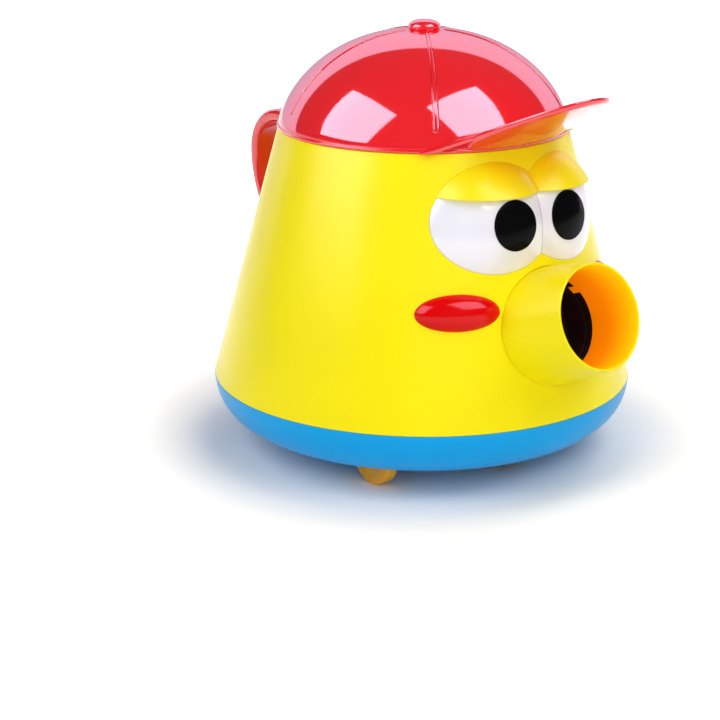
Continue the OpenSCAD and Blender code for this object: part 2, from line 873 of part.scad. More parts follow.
module hopper() color(yellow) {
    rim_top = rim_z - hopper_drop;
    difference() {
        union() {
            intersection() {
                body_cone(hopper_inset, funnel_z - 2 * hopper_wall, rim_top);
                funnel(hopper_wall);
            }
            body_cone(wall + fit_gap, ledge_z, rim_top);
            translate([0, feed_y, inlet_z]) cylinder(h = funnel_z - inlet_z, r = throat_r + throat_wall);
        }
        intersection() {
            body_cone(hopper_inset + hopper_wall, funnel_z - 2 * hopper_wall, rim_z);
            funnel(0);
        }
        translate([0, feed_y, inlet_z - cut]) cylinder(h = funnel_z - inlet_z + 2 * cut, r = throat_r);
        tube_outside(fit_gap);
    }
}

// Launch unit

// The outside of the launch tube with its flange and flared collar, grown outwards
module tube_outside(grow) {
    on_tube() along_y() translate([0, 0, tube_start - grow]) {
        cylinder(h = tube_end - tube_start + 2 * grow, r = tube_r + grow);
        cylinder(h = tube_flange_t + 2 * grow, r = tube_flange_r + grow);
        cylinder(h = 2 * tube_bell + 2 * grow, r1 = sleeve_r + grow, r2 = tube_r + grow);
    }
}

module launch_tube() color(black) {
    difference() {
        union() {
            tube_outside(0);
            on_tube() along_y() translate([0, 0, sleeve_at])
                cylinder(h = tube_start - sleeve_at + cut, r = sleeve_r);
            on_tube() translate([0, trunnion_at, 0])
                bar_x(trunnion_r, -frame_x - frame_t, frame_x + frame_t);
        }
        on_tube() along_y() rotate_extrude()
            polygon([[0, sleeve_at - cut], [spout_bore_d / 2, sleeve_at - cut], [spout_bore_d / 2, tube_start],
                [tube_bore_r, tube_start + tube_bell], [tube_bore_r, tube_end - tube_back_t],
                [0, tube_end - tube_back_t]]);
        bore_key(spout_bore_d / 2 - tube_wall, fit_gap);
        translate([0, feed_y, inlet_z]) cylinder(h = body_h, r = throat_r + throat_wall);
        on_tube() block([-rod_w / 2 - fit_gap, tube_end - tube_back_t - cut, -rod_h / 2 - fit_gap],
            [rod_w / 2 + fit_gap, tube_end + cut, rod_h / 2 + 2.4 * rack_module]);
    }
}

// The plunger head, its rod and the rack along the rod's top
module plunger() color(red) {
    on_tube() {
        along_y() translate([0, 0, plunger_at]) cylinder(h = plunger_t, r = tube_bore_r - plunger_gap);
        block([-rod_w / 2, plunger_at, -rod_h / 2], [rod_w / 2, rod_end, rod_h / 2]);
        side_on() translate([0, 0, -rod_w / 2]) linear_extrude(rod_w)
            for (i = [0:rack_count - 1]) translate([rack_first + i * rack_pitch, rod_h / 2]) rack_tooth();
    }
}

module rack_tooth() {
    half = rack_pitch / 4 - gear_slack / 2;
    low = half + 1.2 * rack_module * tan(pressure);
    high = half - 0.85 * rack_module * tan(pressure);
    tall = 2.05 * rack_module;
    polygon([[-low, -cut], [low, -cut], [low, 0], [high, tall], [-high, tall], [-low, 0]]);
}

// Spring: a round wire wound around the plunger rod
spring_rings = 8;
spring_sides = 6;
spring_low = plunger_at + plunger_t + spring_wire / 2 + fit_gap;
spring_high = tube_end - tube_back_t - spring_wire / 2;
spring_count = spring_turns * spring_rings;
function spring_point(i) =
    let (a = 360 * i / spring_rings)
    [spring_r * cos(a), spring_low + (spring_high - spring_low) * i / spring_count, spring_r * sin(a)];
function spring_ring(i) =
    let (a = 360 * i / spring_rings)
    [for (k = [0:spring_sides - 1]) let (b = 360 * k / spring_sides)
        spring_point(i) + spring_wire / 2 * [cos(b) * cos(a), sin(b), cos(b) * sin(a)]];

module plunger_spring() color(steel) {
    points = [for (i = [0:spring_count]) each spring_ring(i)];
    last = spring_count * spring_sides;
    sides = [for (i = [0:spring_count - 1], k = [0:spring_sides - 1])
        let (a = i * spring_sides + k, b = i * spring_sides + (k + 1) % spring_sides)
        each [[a, b, b + spring_sides], [a, b + spring_sides, a + spring_sides]]];
    low_end = [for (k = [1:spring_sides - 2]) [0, k + 1, k]];
    high_end = [for (k = [1:spring_sides - 2]) [last, last + k, last + k + 1]];
    on_tube() polyhedron(points, concat(sides, low_end, high_end));
}

// The sector gear with the launch spur gear moulded to its side
module sector_gear() color(white) {
    on_tube() translate([0, sector_at, sector_up]) difference() {
        union() {
            translate([-sector_w / 2, 0, 0])
                spur(sector_teeth, rack_module, sector_w, -90 + 360 / sector_teeth, sector_kept);
            bar_x(sector_hub_r, -frame_x + fit_gap, spur_x);
            translate([spur_x, 0, 0]) spur(spur_teeth, gear_module, spur_w, idler_turn, spur_teeth);
        }
        bar_x(sector_shaft_r, -frame_x, frame_x);
    }
}

module sector_shaft() color(steel) {
    on_tube() translate([0, sector_at, sector_up])
        bar_x(sector_shaft_r, -frame_x - frame_t, frame_x + frame_t);
}

// A compound idler: a small gear that drives the next gear and a large one that the pinion drives
module idler(small_x, small_w, small_turn, large_x, large_turn) {
    difference() {
        union() {
            translate([small_x, 0, 0])
                spur(pinion_teeth, gear_module, small_w, small_turn + 180 + 180 / pinion_teeth, pinion_teeth);
            translate([large_x, 0, 0]) spur(idler_teeth, gear_module, idler_w, large_turn, idler_teeth);
        }
        bar_x(shaft_r + run_gap, -frame_x, frame_x);
    }
}

module launch_idler() color(white) {
    on_tube() translate([0, launch_idler_at, launch_idler_up])
        idler(spur_x, idler_x - spur_x, idler_turn, idler_x, motor_turn);
}

module launch_idler_shaft() color(steel) {
    on_tube() translate([0, launch_idler_at, launch_idler_up])
        bar_x(shaft_r, -frame_x - frame_t, frame_x + frame_t);
}

// A brass pinion pressed on a motor shaft
module motor_pinion(turn) {
    difference() {
        spur(pinion_teeth, gear_module, idler_w + 1, turn + 180 + 180 / pinion_teeth, pinion_teeth);
        bar_x(motor_shaft_r, -cut, idler_w + 2 * cut);
    }
}

module launch_pinion() color(brass) {
    on_tube() translate([idler_x - 0.5, launch_motor_at, launch_motor_up]) motor_pinion(motor_turn);
}

module launch_motor_shaft() color(steel) {
    on_tube() translate([0, launch_motor_at, launch_motor_up])
        bar_x(motor_shaft_r, idler_x - cut, frame_x + frame_t + motor_shaft_in);
}

module launch_motor() color(steel) {
    on_tube() translate([frame_x + frame_t, launch_motor_at, launch_motor_up]) difference() {
        can_motor();
        bar_x(motor_shaft_r + run_gap, -cut, motor_shaft_in + cut);
    }
}

// Side view of a launch frame
module frame_outline() {
    margin = 8;
    around = [[trunnion_at, -margin],
        [trunnion_at - margin, 0],
        [trunnion_at, margin],
        [sector_at - margin, sector_up + margin],
        [launch_idler_at - margin, launch_idler_up + margin],
        [launch_motor_at + margin, launch_motor_up + 1.5 * margin],
        [launch_motor_at + 1.5 * margin, launch_motor_up - margin]];
    polygon(concat([[foot_y[0] - foot_end, foot_z]],
        [for (p = around) [tube_y(p[0], p[1]), tube_z(p[0], p[1])]],
        [[foot_y[1] + foot_end, foot_z + margin], [foot_y[1] + foot_end, foot_z]]));
}

module launch_frame(side) {
    x = side > 0 ? frame_x : -frame_x - frame_t;
    foot_x = side > 0 ? frame_x : -frame_x - frame_t - foot_w;
    difference() {
        union() {
            translate([x, 0, 0]) side_on() linear_extrude(frame_t) frame_outline();
            block([foot_x, foot_y[0] - foot_end, foot_z],
                [foot_x + frame_t + foot_w, foot_y[1] + foot_end, foot_z + foot_t]);
        }
        at_feet() cylinder(h = foot_t + cut, r = screw_r);
        on_tube() translate([0, trunnion_at, 0]) bar_x(trunnion_r, -body_d, body_d);
        on_tube() translate([0, sector_at, sector_up]) bar_x(sector_shaft_r + run_gap, -body_d, body_d);
        on_tube() translate([0, launch_idler_at, launch_idler_up]) bar_x(shaft_r, -body_d, body_d);
        if (side > 0)
            on_tube() translate([0, launch_motor_at, launch_motor_up])
                bar_x(motor_shaft_r + cut, -body_d, body_d);
    }
}

module frame_screws() color(steel) {
    at_feet() translate([0, 0, foot_t]) rotate([180, 0, 0]) screw(foot_t + foot_screw - cut);
}

module left_launch_frame() color(grey) launch_frame(1);
module right_launch_frame() color(grey) launch_frame(-1);

// Drive unit

// One half of the gearbox, split on the middle plane
module gearbox(side) {
    inner_low = box_low + box_wall;
    difference() {
        union() {
            block([side > 0 ? 0 : -box_half, box_front, box_low],
                [side > 0 ? box_half : 0, box_back, box_high]);
            difference() {
                block([side > 0 ? 0 : -box_half - box_flange, box_front, floor_z],
                    [side > 0 ? box_half + box_flange : 0, box_back, floor_z + box_wall]);
                axle_tunnel(bay_wall + fit_gap);
            }
        }
        block([-box_half + box_wall, box_front + box_wall, inner_low],
            [box_half - box_wall, box_back - box_wall, box_high - box_wall]);
        translate([0, -axle_front, axle_z]) bar_x(axle_r + run_gap, -body_d, body_d);
        translate([0, drive_idler_y, drive_idler_z]) bar_x(shaft_r, -body_d, body_d);
        if (side > 0)
            translate([0, drive_motor_y, drive_motor_z]) bar_x(motor_shaft_r + 1, 0, body_d);
    }
}

module left_gearbox() color(grey) gearbox(1);
module right_gearbox() color(grey) gearbox(-1);

module drive_idler() color(white) {
    translate([0, drive_idler_y, drive_idler_z])
        idler(drive_small_x, drive_large_x - drive_small_x, drive_turn, drive_large_x, drive_motor_turn);
}

module drive_idler_shaft() color(steel) {
    translate([0, drive_idler_y, drive_idler_z]) bar_x(shaft_r, -box_half, box_half);
}

module drive_pinion() color(brass) {
    translate([drive_large_x - 0.5, drive_motor_y, drive_motor_z]) motor_pinion(drive_motor_turn);
}

module drive_motor_shaft() color(steel) {
    translate([0, drive_motor_y, drive_motor_z])
        bar_x(motor_shaft_r, drive_large_x - cut, box_half + motor_shaft_in);
}

module drive_motor() color(steel) {
    translate([box_half, drive_motor_y, drive_motor_z]) difference() {
        can_motor();
        bar_x(motor_shaft_r + run_gap, -cut, motor_shaft_in + cut);
    }
}

module axle_gear() color(white) {
    translate([drive_small_x, -axle_front, axle_z]) difference() {
        spur(axle_teeth, gear_module, axle_gear_w, drive_turn, axle_teeth);
        bar_x(axle_r, -cut, axle_gear_w + cut);
    }
}

module drive_axle() color(steel) {
    half = wheel_x + wheel_w / 2;
    translate([0, -axle_front, axle_z]) bar_x(axle_r, -half, half);
}

// A wheel with a raised ring on both faces and a groove for its tyre
module wheel() {
    rim = wheel_d / 2 - tyre_t;
    half = wheel_w / 2;
    rotate([0, 90, 0]) rotate_extrude() difference() {
        translate([axle_r, -half]) square([rim - axle_r, wheel_w]);
        for (side = [-1, 1]) translate([axle_r + hub_w, side * half - wheel_dish])
            square([rim - axle_r - hub_w - wheel_ring_w, 2 * wheel_dish]);
    }
}

module tyre() {
    rim = wheel_d / 2 - tyre_t;
    half = wheel_w / 2 - tyre_edge;
    rotate([0, 90, 0]) rotate_extrude() {
        translate([rim, -half]) square([tyre_t - tyre_edge, 2 * half]);
        translate([rim, -half + tyre_edge]) square([tyre_t, 2 * half - 2 * tyre_edge]);
        for (side = [-1, 1]) translate([rim + tyre_t - tyre_edge, side * (half - tyre_edge)])
            circle(tyre_edge);
    }
}

module at_wheel(side) {
    translate([side * wheel_x, -axle_front, axle_z]) children();
}

module left_wheel() color(yellow) at_wheel(1) wheel();
module right_wheel() color(yellow) at_wheel(-1) wheel();
module left_tyre() color(yellow) at_wheel(1) tyre();
module right_tyre() color(yellow) at_wheel(-1) tyre();

// Caster

module caster_fork() color(grey) {
    inner = caster_w / 2 + fork_gap;
    translate([0, caster_back, 0]) difference() {
        union() {
            translate([0, 0, fork_z]) cylinder(h = fork_plate_t, r = caster_w / 2 + fork_edge);
            translate([0, 0, fork_z]) cylinder(h = fork_plate_t + stem_h, r = stem_r);
            for (side = [-1, 1]) translate([side * (inner + fork_t / 2), 0, 0]) fork_leg();
        }
        translate([0, caster_trail, caster_r]) bar_x(caster_pin_r, -body_d, body_d);
    }
}

module fork_leg() {
    translate([-fork_t / 2, 0, 0]) {
        translate([0, caster_trail, caster_r]) bar_x(leg_r, 0, fork_t);
        side_on() linear_extrude(fork_t)
            polygon([[-leg_r, fork_z + cut], [leg_r + cut, fork_z + cut], [caster_trail + leg_r, caster_r],
                [caster_trail - leg_r, caster_r]]);
    }
}

module caster_wheel() color(yellow) {
    translate([0, caster_back + caster_trail, caster_r]) rotate([0, 90, 0]) rotate_extrude() difference() {
        translate([caster_pin_r + run_gap, -caster_w / 2])
            square([caster_r - caster_pin_r - run_gap, caster_w]);
        for (side = [-1, 1]) translate([caster_pin_r + wheel_ring_w, side * caster_w / 2 - wheel_dish])
            square([caster_r - caster_pin_r - 2 * wheel_ring_w, 2 * wheel_dish]);
    }
}

module caster_pin() color(steel) {
    half = caster_w / 2 + fork_gap + fork_t;
    translate([0, caster_back + caster_trail, caster_r]) bar_x(caster_pin_r, -half, half);
}

// Power

// The door's flush plate with its screw tab, less a gap all round
module door_plate(gap, z_low, z_high) {
    half_x = bay_len / 2 + door_edge - gap;
    half_y = bay_w / 2 + door_edge - gap;
    block([bay_x - half_x, bay_y - half_y, z_low], [bay_x + half_x, bay_y + half_y, z_high]);
    block([bay_x, bay_y - boss_r + gap, z_low], [door_screw_x, bay_y + boss_r - gap, z_high]);
    translate([door_screw_x, bay_y, z_low]) cylinder(h = z_high - z_low, r = boss_r - gap);
}

module battery_door() color(blue) {
    half_x = bay_len / 2 - fit_gap;
    half_y = bay_w / 2 - fit_gap;
    difference() {
        union() {
            door_plate(fit_gap, ground_gap, ground_gap + door_t);
            block([bay_x - half_x, bay_y - half_y, ground_gap], [bay_x + half_x, bay_y + half_y, floor_z]);
        }
        for (i = [1:grip_count]) translate([bay_x - half_x + i * grip_pitch, bay_y, 0])
            block([0, -grip_half_w, ground_gap - cut], [grip_pitch / 2, grip_half_w, ground_gap + door_t / 2]);
        translate([door_screw_x, bay_y, 0]) cylinder(h = floor_z + cut, r = screw_r);
    }
}

module battery_door_screw() color(steel) {
    translate([door_screw_x, bay_y, ground_gap]) screw(wall + door_boss_h - 2 * cut);
}

module at_cells() {
    for (i = [0:cells - 1])
        translate([bay_x, bay_y + (i - (cells - 1) / 2) * (cell_d + bay_gap), cell_z]) children();
}

module batteries() color(grey) {
    at_cells() {
        bar_x(cell_d / 2, -cell_len / 2, cell_len / 2 - cell_tip_h);
        bar_x(cell_tip_r, -cell_len / 2, cell_len / 2);
    }
}

// A round contact at each end of a cell, on a plate that reaches the bay's end wall
module battery_contacts() color(steel) {
    plate = cell_d / 2 - cut;
    at_cells() for (turn = [0, 180]) rotate([0, 0, turn]) {
        bar_x(contact_r, cell_len / 2, cell_len / 2 + contact_t);
        block([cell_len / 2 + contact_t, -plate, -plate], [bay_len / 2, plate, plate]);
    }
}

// The space that the switch knob slides in
module knob_slot(z_low, z_high) {
    block([switch_x - knob_w / 2 - fit_gap, switch_y - knob_len / 2 - fit_gap, z_low],
        [switch_x + knob_w / 2 + fit_gap, switch_y + knob_len / 2 + switch_travel + fit_gap, z_high]);
}

module switch_body() color(black) {
    difference() {
        block([switch_x - switch_w / 2, switch_y + switch_travel / 2 - switch_len / 2, floor_z],
            [switch_x + switch_w / 2, switch_y + switch_travel / 2 + switch_len / 2, board_z]);
        knob_slot(floor_z - cut, board_z - switch_top_t);
    }
}

module switch_knob() color(black) {
    difference() {
        block([switch_x - knob_w / 2, switch_y - knob_len / 2, ground_gap - knob_out],
            [switch_x + knob_w / 2, switch_y + knob_len / 2, board_z - switch_top_t - fit_gap]);
        for (i = [-1:1]) translate([0, switch_y + i * knob_len / 4, ground_gap - knob_out])
            bar_x(knob_w / 10, 0, 2 * switch_x);
    }
}

module circuit_board() color(green) {
    block([board_x[0] - post_r, board_y[0], board_z], [board_x[1] + post_r, board_y[1], board_z + board_t]);
    block(concat(chip_low, board_z + board_t), concat(chip_low + chip_size, board_z + board_t + chip_t));
}

module speaker() color(black) {
    translate([speaker_x, speaker_y, floor_z]) rotate_extrude() {
        difference() {
            square([speaker_d / 2, speaker_rim]);
            square([speaker_d / 2 - speaker_rim, speaker_rim / 2]);
        }
        polygon([[0, speaker_rim - cut], [speaker_d / 2 - cut, speaker_rim - cut], [speaker_d / 4, speaker_h],
            [0, speaker_h]]);
    }
}

// Cap

// Outer profile of the dome, grown outwards
function dome_point(a, grow) = [(rim_r + grow) * pow(cos(a), 0.9), (cap_h + grow) * pow(sin(a), 1.26)];

module dome_solid(grow) {
    translate([0, 0, cap_z]) rotate_extrude()
        polygon(concat([[0, 0]], [for (a = [0:dome_step:90 - dome_step]) dome_point(a, grow)],
            [[0, cap_h + grow]]));
}

module cap_dome() color(red) {
    difference() {
        union() {
            dome_solid(0);
            translate([0, 0, cap_z]) cylinder(h = cap_lip_h, r = rim_r + cap_lip);
            intersection() {
                dome_solid(rib_h);
                cap_ribs();
            }
            intersection() {
                cap_knuckle();
                translate([0, 0, cap_z]) cylinder(h = cap_h, r = body_d);
            }
        }
        dome_solid(-wall);
        translate([0, 0, cap_z - cut]) cylinder(h = 2 * cut, r = rim_r - wall);
        translate([0, hinge_y, hinge_z]) bar_x(hinge_pin_r + run_gap, -strap_w, strap_w);
    }
}

// Upright plates that mark where the panel ribs lie
module cap_ribs() {
    for (turn = [rib_turn / 2:rib_turn:360]) rotate([0, 0, turn])
        block([-rib_w / 2, -rim_r, cap_z + rib_stop_h],
            [rib_w / 2, -button_d / 2 - fit_gap, cap_z + 2 * cap_h]);
}

// The hinge knuckle behind the dome
module cap_knuckle() {
    translate([0, hinge_y, hinge_z]) bar_x(knuckle_r, -knuckle_half, knuckle_half);
    block([-knuckle_half, rim_r - wall / 2, cap_z], [knuckle_half, hinge_y, hinge_z + knuckle_r]);
}

// Outline of the visor, seen from above
module visor_outline() {
    points = [for (a = [0:6:180])
        let (c = cos(a))
        [visor_half_w * sign(c) * pow(abs(c), 0.85), visor_nose - visor_reach - visor_nose * sin(a)]];
    polygon(concat(points, [[-visor_half_w, 0], [visor_half_w, 0]]));
}

// A tilted sheet, arched across, that ends on the dome and in a narrow foot along the lip band
module cap_visor() color(red) {
    difference() {
        intersection() {
            translate([0, -rim_r, cap_z + visor_root_h]) rotate([-visor_tilt, 0, 0])
                translate([0, -visor_reach, -visor_arch_r]) along_y()
                    ring(visor_arch_r + visor_t, visor_arch_r, 2 * visor_reach);
            translate([0, 0, cap_z]) {
                linear_extrude(cap_h) visor_outline();
                cylinder(h = cap_h, r = rim_r + cap_lip + visor_foot);
            }
        }
        dome_solid(0);
        translate([0, 0, cap_z - cut]) cylinder(h = cap_lip_h + cut, r = rim_r + cap_lip);
    }
}

module cap_button() color(red) {
    translate([0, 0, cap_z]) difference() {
        translate([0, 0, cap_h]) rotate_extrude() intersection() {
            polygon(concat([[0, -2]], [[button_d / 2, -2]],
                [for (a = [0:10:90]) [button_d / 2 * pow(cos(a), 0.8), button_h * pow(sin(a), 0.8)]]));
            translate([0, -2]) square([button_d, button_h + 2]);
        }
        translate([0, 0, -cap_z]) dome_solid(0);
    }
}

module cap_hinge_pin() color(steel) {
    half = knuckle_half + fit_gap + ear_t;
    translate([0, hinge_y, hinge_z]) bar_x(hinge_pin_r, -half, half);
}

base_tray();
body_shell();
spout();
brow_hood();
left_eye();
right_eye();
left_pupil();
right_pupil();
left_cheek();
right_cheek();
handle();
handle_screws();
hopper();
launch_tube();
left_launch_frame();
right_launch_frame();
frame_screws();
launch_motor();
cap_dome();
cap_visor();
cap_button();
cap_hinge_pin();
plunger();
plunger_spring();
sector_gear();
sector_shaft();
launch_idler();
launch_idler_shaft();
launch_pinion();
launch_motor_shaft();
left_gearbox();
right_gearbox();
drive_motor();
drive_motor_shaft();
drive_pinion();
drive_idler();
drive_idler_shaft();
axle_gear();
drive_axle();
left_wheel();
right_wheel();
left_tyre();
right_tyre();
caster_fork();
caster_wheel();
caster_pin();
battery_door();
battery_door_screw();
batteries();
battery_contacts();
switch_body();
switch_knob();
circuit_board();
speaker();
base_screws();
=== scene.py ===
"""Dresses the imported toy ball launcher: moulded shells, cap, spout, wheels and works in a plain white studio."""

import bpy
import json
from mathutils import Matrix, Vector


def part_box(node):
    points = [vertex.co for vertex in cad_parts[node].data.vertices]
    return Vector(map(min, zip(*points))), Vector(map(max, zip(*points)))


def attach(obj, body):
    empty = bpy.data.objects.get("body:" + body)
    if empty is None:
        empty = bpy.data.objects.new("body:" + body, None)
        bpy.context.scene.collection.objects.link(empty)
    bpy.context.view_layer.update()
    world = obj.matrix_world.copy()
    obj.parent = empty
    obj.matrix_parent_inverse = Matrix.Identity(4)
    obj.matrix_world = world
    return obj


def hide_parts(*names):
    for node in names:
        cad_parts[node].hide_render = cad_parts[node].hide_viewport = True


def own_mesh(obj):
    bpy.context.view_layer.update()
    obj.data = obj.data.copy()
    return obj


bl_info = {
    "name": "Toy ball launcher",
    "version": (1, 0, 0),
    "blender": (4, 5, 0),
    "location": "3D View > Sidebar > Launcher",
    "description": "Makes the pieces, finishes and studio of a floor-rolling toy ball launcher",
    "category": "Object",
}

import json
import math

import bmesh
import bpy
from bpy.props import FloatProperty, FloatVectorProperty, IntProperty, PointerProperty
from mathutils import Matrix, Vector

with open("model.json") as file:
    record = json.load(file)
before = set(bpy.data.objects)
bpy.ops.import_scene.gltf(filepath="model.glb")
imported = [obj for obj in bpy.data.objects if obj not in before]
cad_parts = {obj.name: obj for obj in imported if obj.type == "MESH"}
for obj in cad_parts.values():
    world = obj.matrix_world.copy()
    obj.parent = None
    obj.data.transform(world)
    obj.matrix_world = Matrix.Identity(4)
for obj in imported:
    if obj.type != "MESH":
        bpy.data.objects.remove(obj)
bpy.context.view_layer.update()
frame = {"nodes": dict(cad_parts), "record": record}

MM = 0.001
QUARTER = math.pi / 2
# Segments round large and small turned pieces
FINE = 192
MEDIUM = 96
# Vertices nearer than this are one, and edges sharper than this stay sharp
WELD = 0.001 * MM
CREASE = math.radians(30)
# Reach of the blocks that cut along a plane
REACH = 0.2
# The toy's own sides, by the sign of X
SIDES = ((1, "left"), (-1, "right"))
# Powers that fill out the section of the dome, outwards and upwards
DOME_OUT, DOME_UP = 0.9, 1.26
# Direction of the photograph's camera from the object
VIEW_TURN = math.radians(-41)
VIEW_RISE = math.radians(14.52)
# Middle of the object, and share of the room's radius where the backdrop begins behind it
STAGE_MIDDLE = Vector((0, 0, 0.11))
BACKDROP_FROM = 0.44
# Lamps: turn and rise in degrees, width and height in metres, power in watts
SOFT_LIGHTS = {
    "left_softbox": (-106, 37, 0.95, 0.95, 6.0),
    "right_softbox": (9, 51, 0.85, 0.85, 5.8),
    "front_fill": (-28, 18, 0.9, 0.6, 4.1),
    "back_fill": (118, 38, 0.9, 0.9, 6.0),
}
# Finishes by name, filled by their operator
FINISHES = {}


def srgb(code):
    """The linear colour of an sRGB hex value."""
    values = [int(code[i:i + 2], 16) / 255 for i in (1, 3, 5)]
    return [v / 12.92 if v <= 0.04045 else ((v + 0.055) / 1.055) ** 2.4 for v in values] + [1.0]


def length(name, description, millimetres):
    """A length property with its default in millimetres."""
    return FloatProperty(name=name, description=description, default=millimetres * MM, unit="LENGTH", precision=4)


def angle(name, description, degrees):
    """An angle property with its default in degrees."""
    return FloatProperty(name=name, description=description, default=math.radians(degrees), unit="ROTATION")


def colour(name, description, code):
    """A colour property with its default as an sRGB hex value."""
    return FloatVectorProperty(
        name=name, description=description, default=srgb(code), size=4, subtype="COLOR", min=0, max=1)


class LauncherSizes(bpy.types.PropertyGroup):
    """Sizes of the moulded pieces."""

    seam_z: length("Seam height", "Height of the seam over the tray", 37.5)
    rim_z: length("Rim height", "Height of the body's upper rim", 168)
    seam_r: length("Seam radius", "Outside radius of the body at the seam", 110)
    rim_r: length("Rim radius", "Outside radius of the body at the rim", 74.75)
    wall: length("Wall", "Thickness of the moulded shells", 2.4)
    gap: length("Gap", "Gap between the cap and the body rim", 0.3)
    cap_h: length("Cap height", "Height of the dome above the rim", 49)
    lip_show: length("Cap lip bead", "How far the lip stands out of the dome", 0.6)
    lip_h: length("Cap lip height", "Height of the lip band", 1.4)
    visor_reach: length("Visor reach", "Reach of the tip from the body's axis", 121.5)
    visor_half_w: length("Visor half width", "Half width of the visor", 31)
    visor_root_h: length("Visor root", "Height of the visor's root above the rim", 8.4)
    visor_tilt: angle("Visor tilt", "Upward tilt of the visor", 22)
    visor_nose: length("Visor nose", "Length of the visor's rounded outline", 60)
    visor_arch_r: length("Visor arch", "Radius of the visor's arch", 385)
    visor_foot: length("Visor foot", "How far the foot stands out of the rim", 2.8)
    visor_t: length("Visor thickness", "Thickness of the visor at its edge", 2.6)
    rib_w: length("Rib width", "Width of a rib on the dome", 3.4)
    rib_h: length("Rib height", "How far a rib stands out", 0.8)
    button_r: length("Button radius", "Radius of the crown button", 8.25)
    button_h: length("Button height", "Height of the crown button", 6)
    spout_len: length("Spout length", "Length from the wall to the mouth", 34)
    spout_in: length("Spout depth", "Length of the neck behind the wall", 14)
    spout_bore: length("Spout bore", "Inner radius of the spout", 23)
    mouth_flare: length("Mouth flare", "How much the bore widens towards the mouth", 2)
    mouth_r: length("Mouth radius", "Outside radius of the mouth", 26.3)
    root_r: length("Root radius", "Outside radius at the end of the neck", 30.5)
    neck_r: length("Neck radius", "Radius of the neck in the body's hole", 28.9)
    exit_h: length("Spout height", "Height of the axis above the seam at the wall", 45.6)
    tilt: angle("Spout tilt", "Upward tilt of the spout", 20.5)
    sleeve_at: length("Sleeve depth", "Depth of the tube's sleeve behind the wall", 1)
    sleeve_r: length("Sleeve radius", "Outside radius of the tube's sleeve", 25)
    lining: length("Lining", "How far the black lining reaches out", 4)
    key_w: length("Key width", "Width of the key's root", 4)
    key_turn: angle("Key turn", "Direction of the key's root", 39)
    eye_h: length("Eye height", "Height of the eyes above the seam", 98)
    eye_half: length("Eye spacing", "Half the distance between the eyes", 22.5)
    eye_r: length("Eye radius", "Outline radius of an eye", 25.5)
    eye_bulge: length("Eye bulge", "How far an eye stands out", 8)
    pupil_r: length("Pupil radius", "Radius of a pupil", 12.5)
    pupil_t: length("Pupil thickness", "Thickness of a pupil", 0.7)
    brow_r: length("Brow radius", "Outline radius of a brow lobe", 28.5)
    brow_bulge: length("Brow bulge", "How far the brow stands out", 13.5)
    brow_lift: length("Brow lift", "Height of the brow's edge above the eyes", 12.5)
    cheek_h: length("Cheek height", "Height of the cheeks above the seam", 57)
    cheek_w: length("Cheek width", "Width of a cheek", 38.6)
    cheek_tall: length("Cheek depth", "Height of a cheek's outline", 18)
    cheek_bulge: length("Cheek bulge", "How far a cheek stands out", 5.6)
    cheek_turn: angle("Cheek turn", "Direction of the cheeks from the front", 30.3)
    wheel_r: length("Wheel radius", "Radius of a drive wheel over its tyre", 14)
    wheel_w: length("Wheel width", "Width of a drive wheel", 8)
    spring_r: length("Spring radius", "Mean radius of the plunger spring", 10.4)
    spring_wire: length("Spring wire", "Wire diameter of the plunger spring", 1.4)
    spring_turns: IntProperty(name="Spring turns", description="Curls of the plunger spring", default=7, min=3)


class LauncherColours(bpy.types.PropertyGroup):
    """Colours of the finishes."""

    yellow: colour("Body yellow", "Moulded body, spout and brow", "#FCEC0A")
    # Painted shade and glow: the amber that the yellow inside the spout deepens to, and the colour of the bore's
    # painted glow
    amber: colour("Bore painted shade", "Inside of the spout", "#FF9604")
    red: colour("Cap red", "Cap, visor, button, handle and plunger", "#EE1C26")
    cheek: colour("Cheek red", "Cheeks", "#DE0509")
    blue: colour("Tray blue", "Base tray and battery door", "#02A6EE")
    white: colour("Eye white", "Eyes", "#F2F1FB")
    wheel: colour("Wheel amber", "Drive wheels and tyres", "#F6AC0C")
    black: colour("Pupil black", "Pupils and launch tube", "#0A0A0C")


def wall_r(sizes, z):
    """Outside radius of the body at a height."""
    share = (z - sizes.seam_z) / (sizes.rim_z - sizes.seam_z)
    return sizes.seam_r + (sizes.rim_r - sizes.seam_r) * share


def wall_frame(sizes, height, turn):
    """The frame on the outside of the body wall, with Z along the wall's normal and Y up the wall."""
    lean = math.atan2(sizes.seam_r - sizes.rim_r, sizes.rim_z - sizes.seam_z)
    z = sizes.seam_z + height
    return (Matrix.Rotation(turn, 4, "Z") @ Matrix.Translation((0, -wall_r(sizes, z), z))
            @ Matrix.Rotation(QUARTER - lean, 4, "X"))


def spout_frame(sizes):
    """The frame at the wall on the spout's axis, with Z out of the mouth."""
    z = sizes.seam_z + sizes.exit_h
    return Matrix.Translation((0, -wall_r(sizes, z), z)) @ Matrix.Rotation(QUARTER - sizes.tilt, 4, "X")


def eye_turn(sizes):
    """Direction of the left eye from the front."""
    return math.asin(sizes.eye_half / wall_r(sizes, sizes.seam_z + sizes.eye_h))


def ball_r(outline, bulge):
    """Radius of the ball whose cap has this outline radius and bulge."""
    return (outline ** 2 + bulge ** 2) / (2 * bulge)


def signed_power(value, power):
    """The power of a value's size, with the value's sign."""
    return math.copysign(abs(value) ** power, value)


def moved(bm, place):
    """The bmesh put in its place."""
    bmesh.ops.transform(bm, matrix=place, verts=bm.verts[:])
    return bm


def sealed(bm):
    """The bmesh of a wrapped sheet with its seam merged and its ends filled."""
    bmesh.ops.remove_doubles(bm, verts=bm.verts[:], dist=2 * WELD)
    bmesh.ops.holes_fill(bm, edges=[edge for edge in bm.edges if edge.is_boundary], sides=0)
    bmesh.ops.recalc_face_normals(bm, faces=bm.faces[:])
    return bm


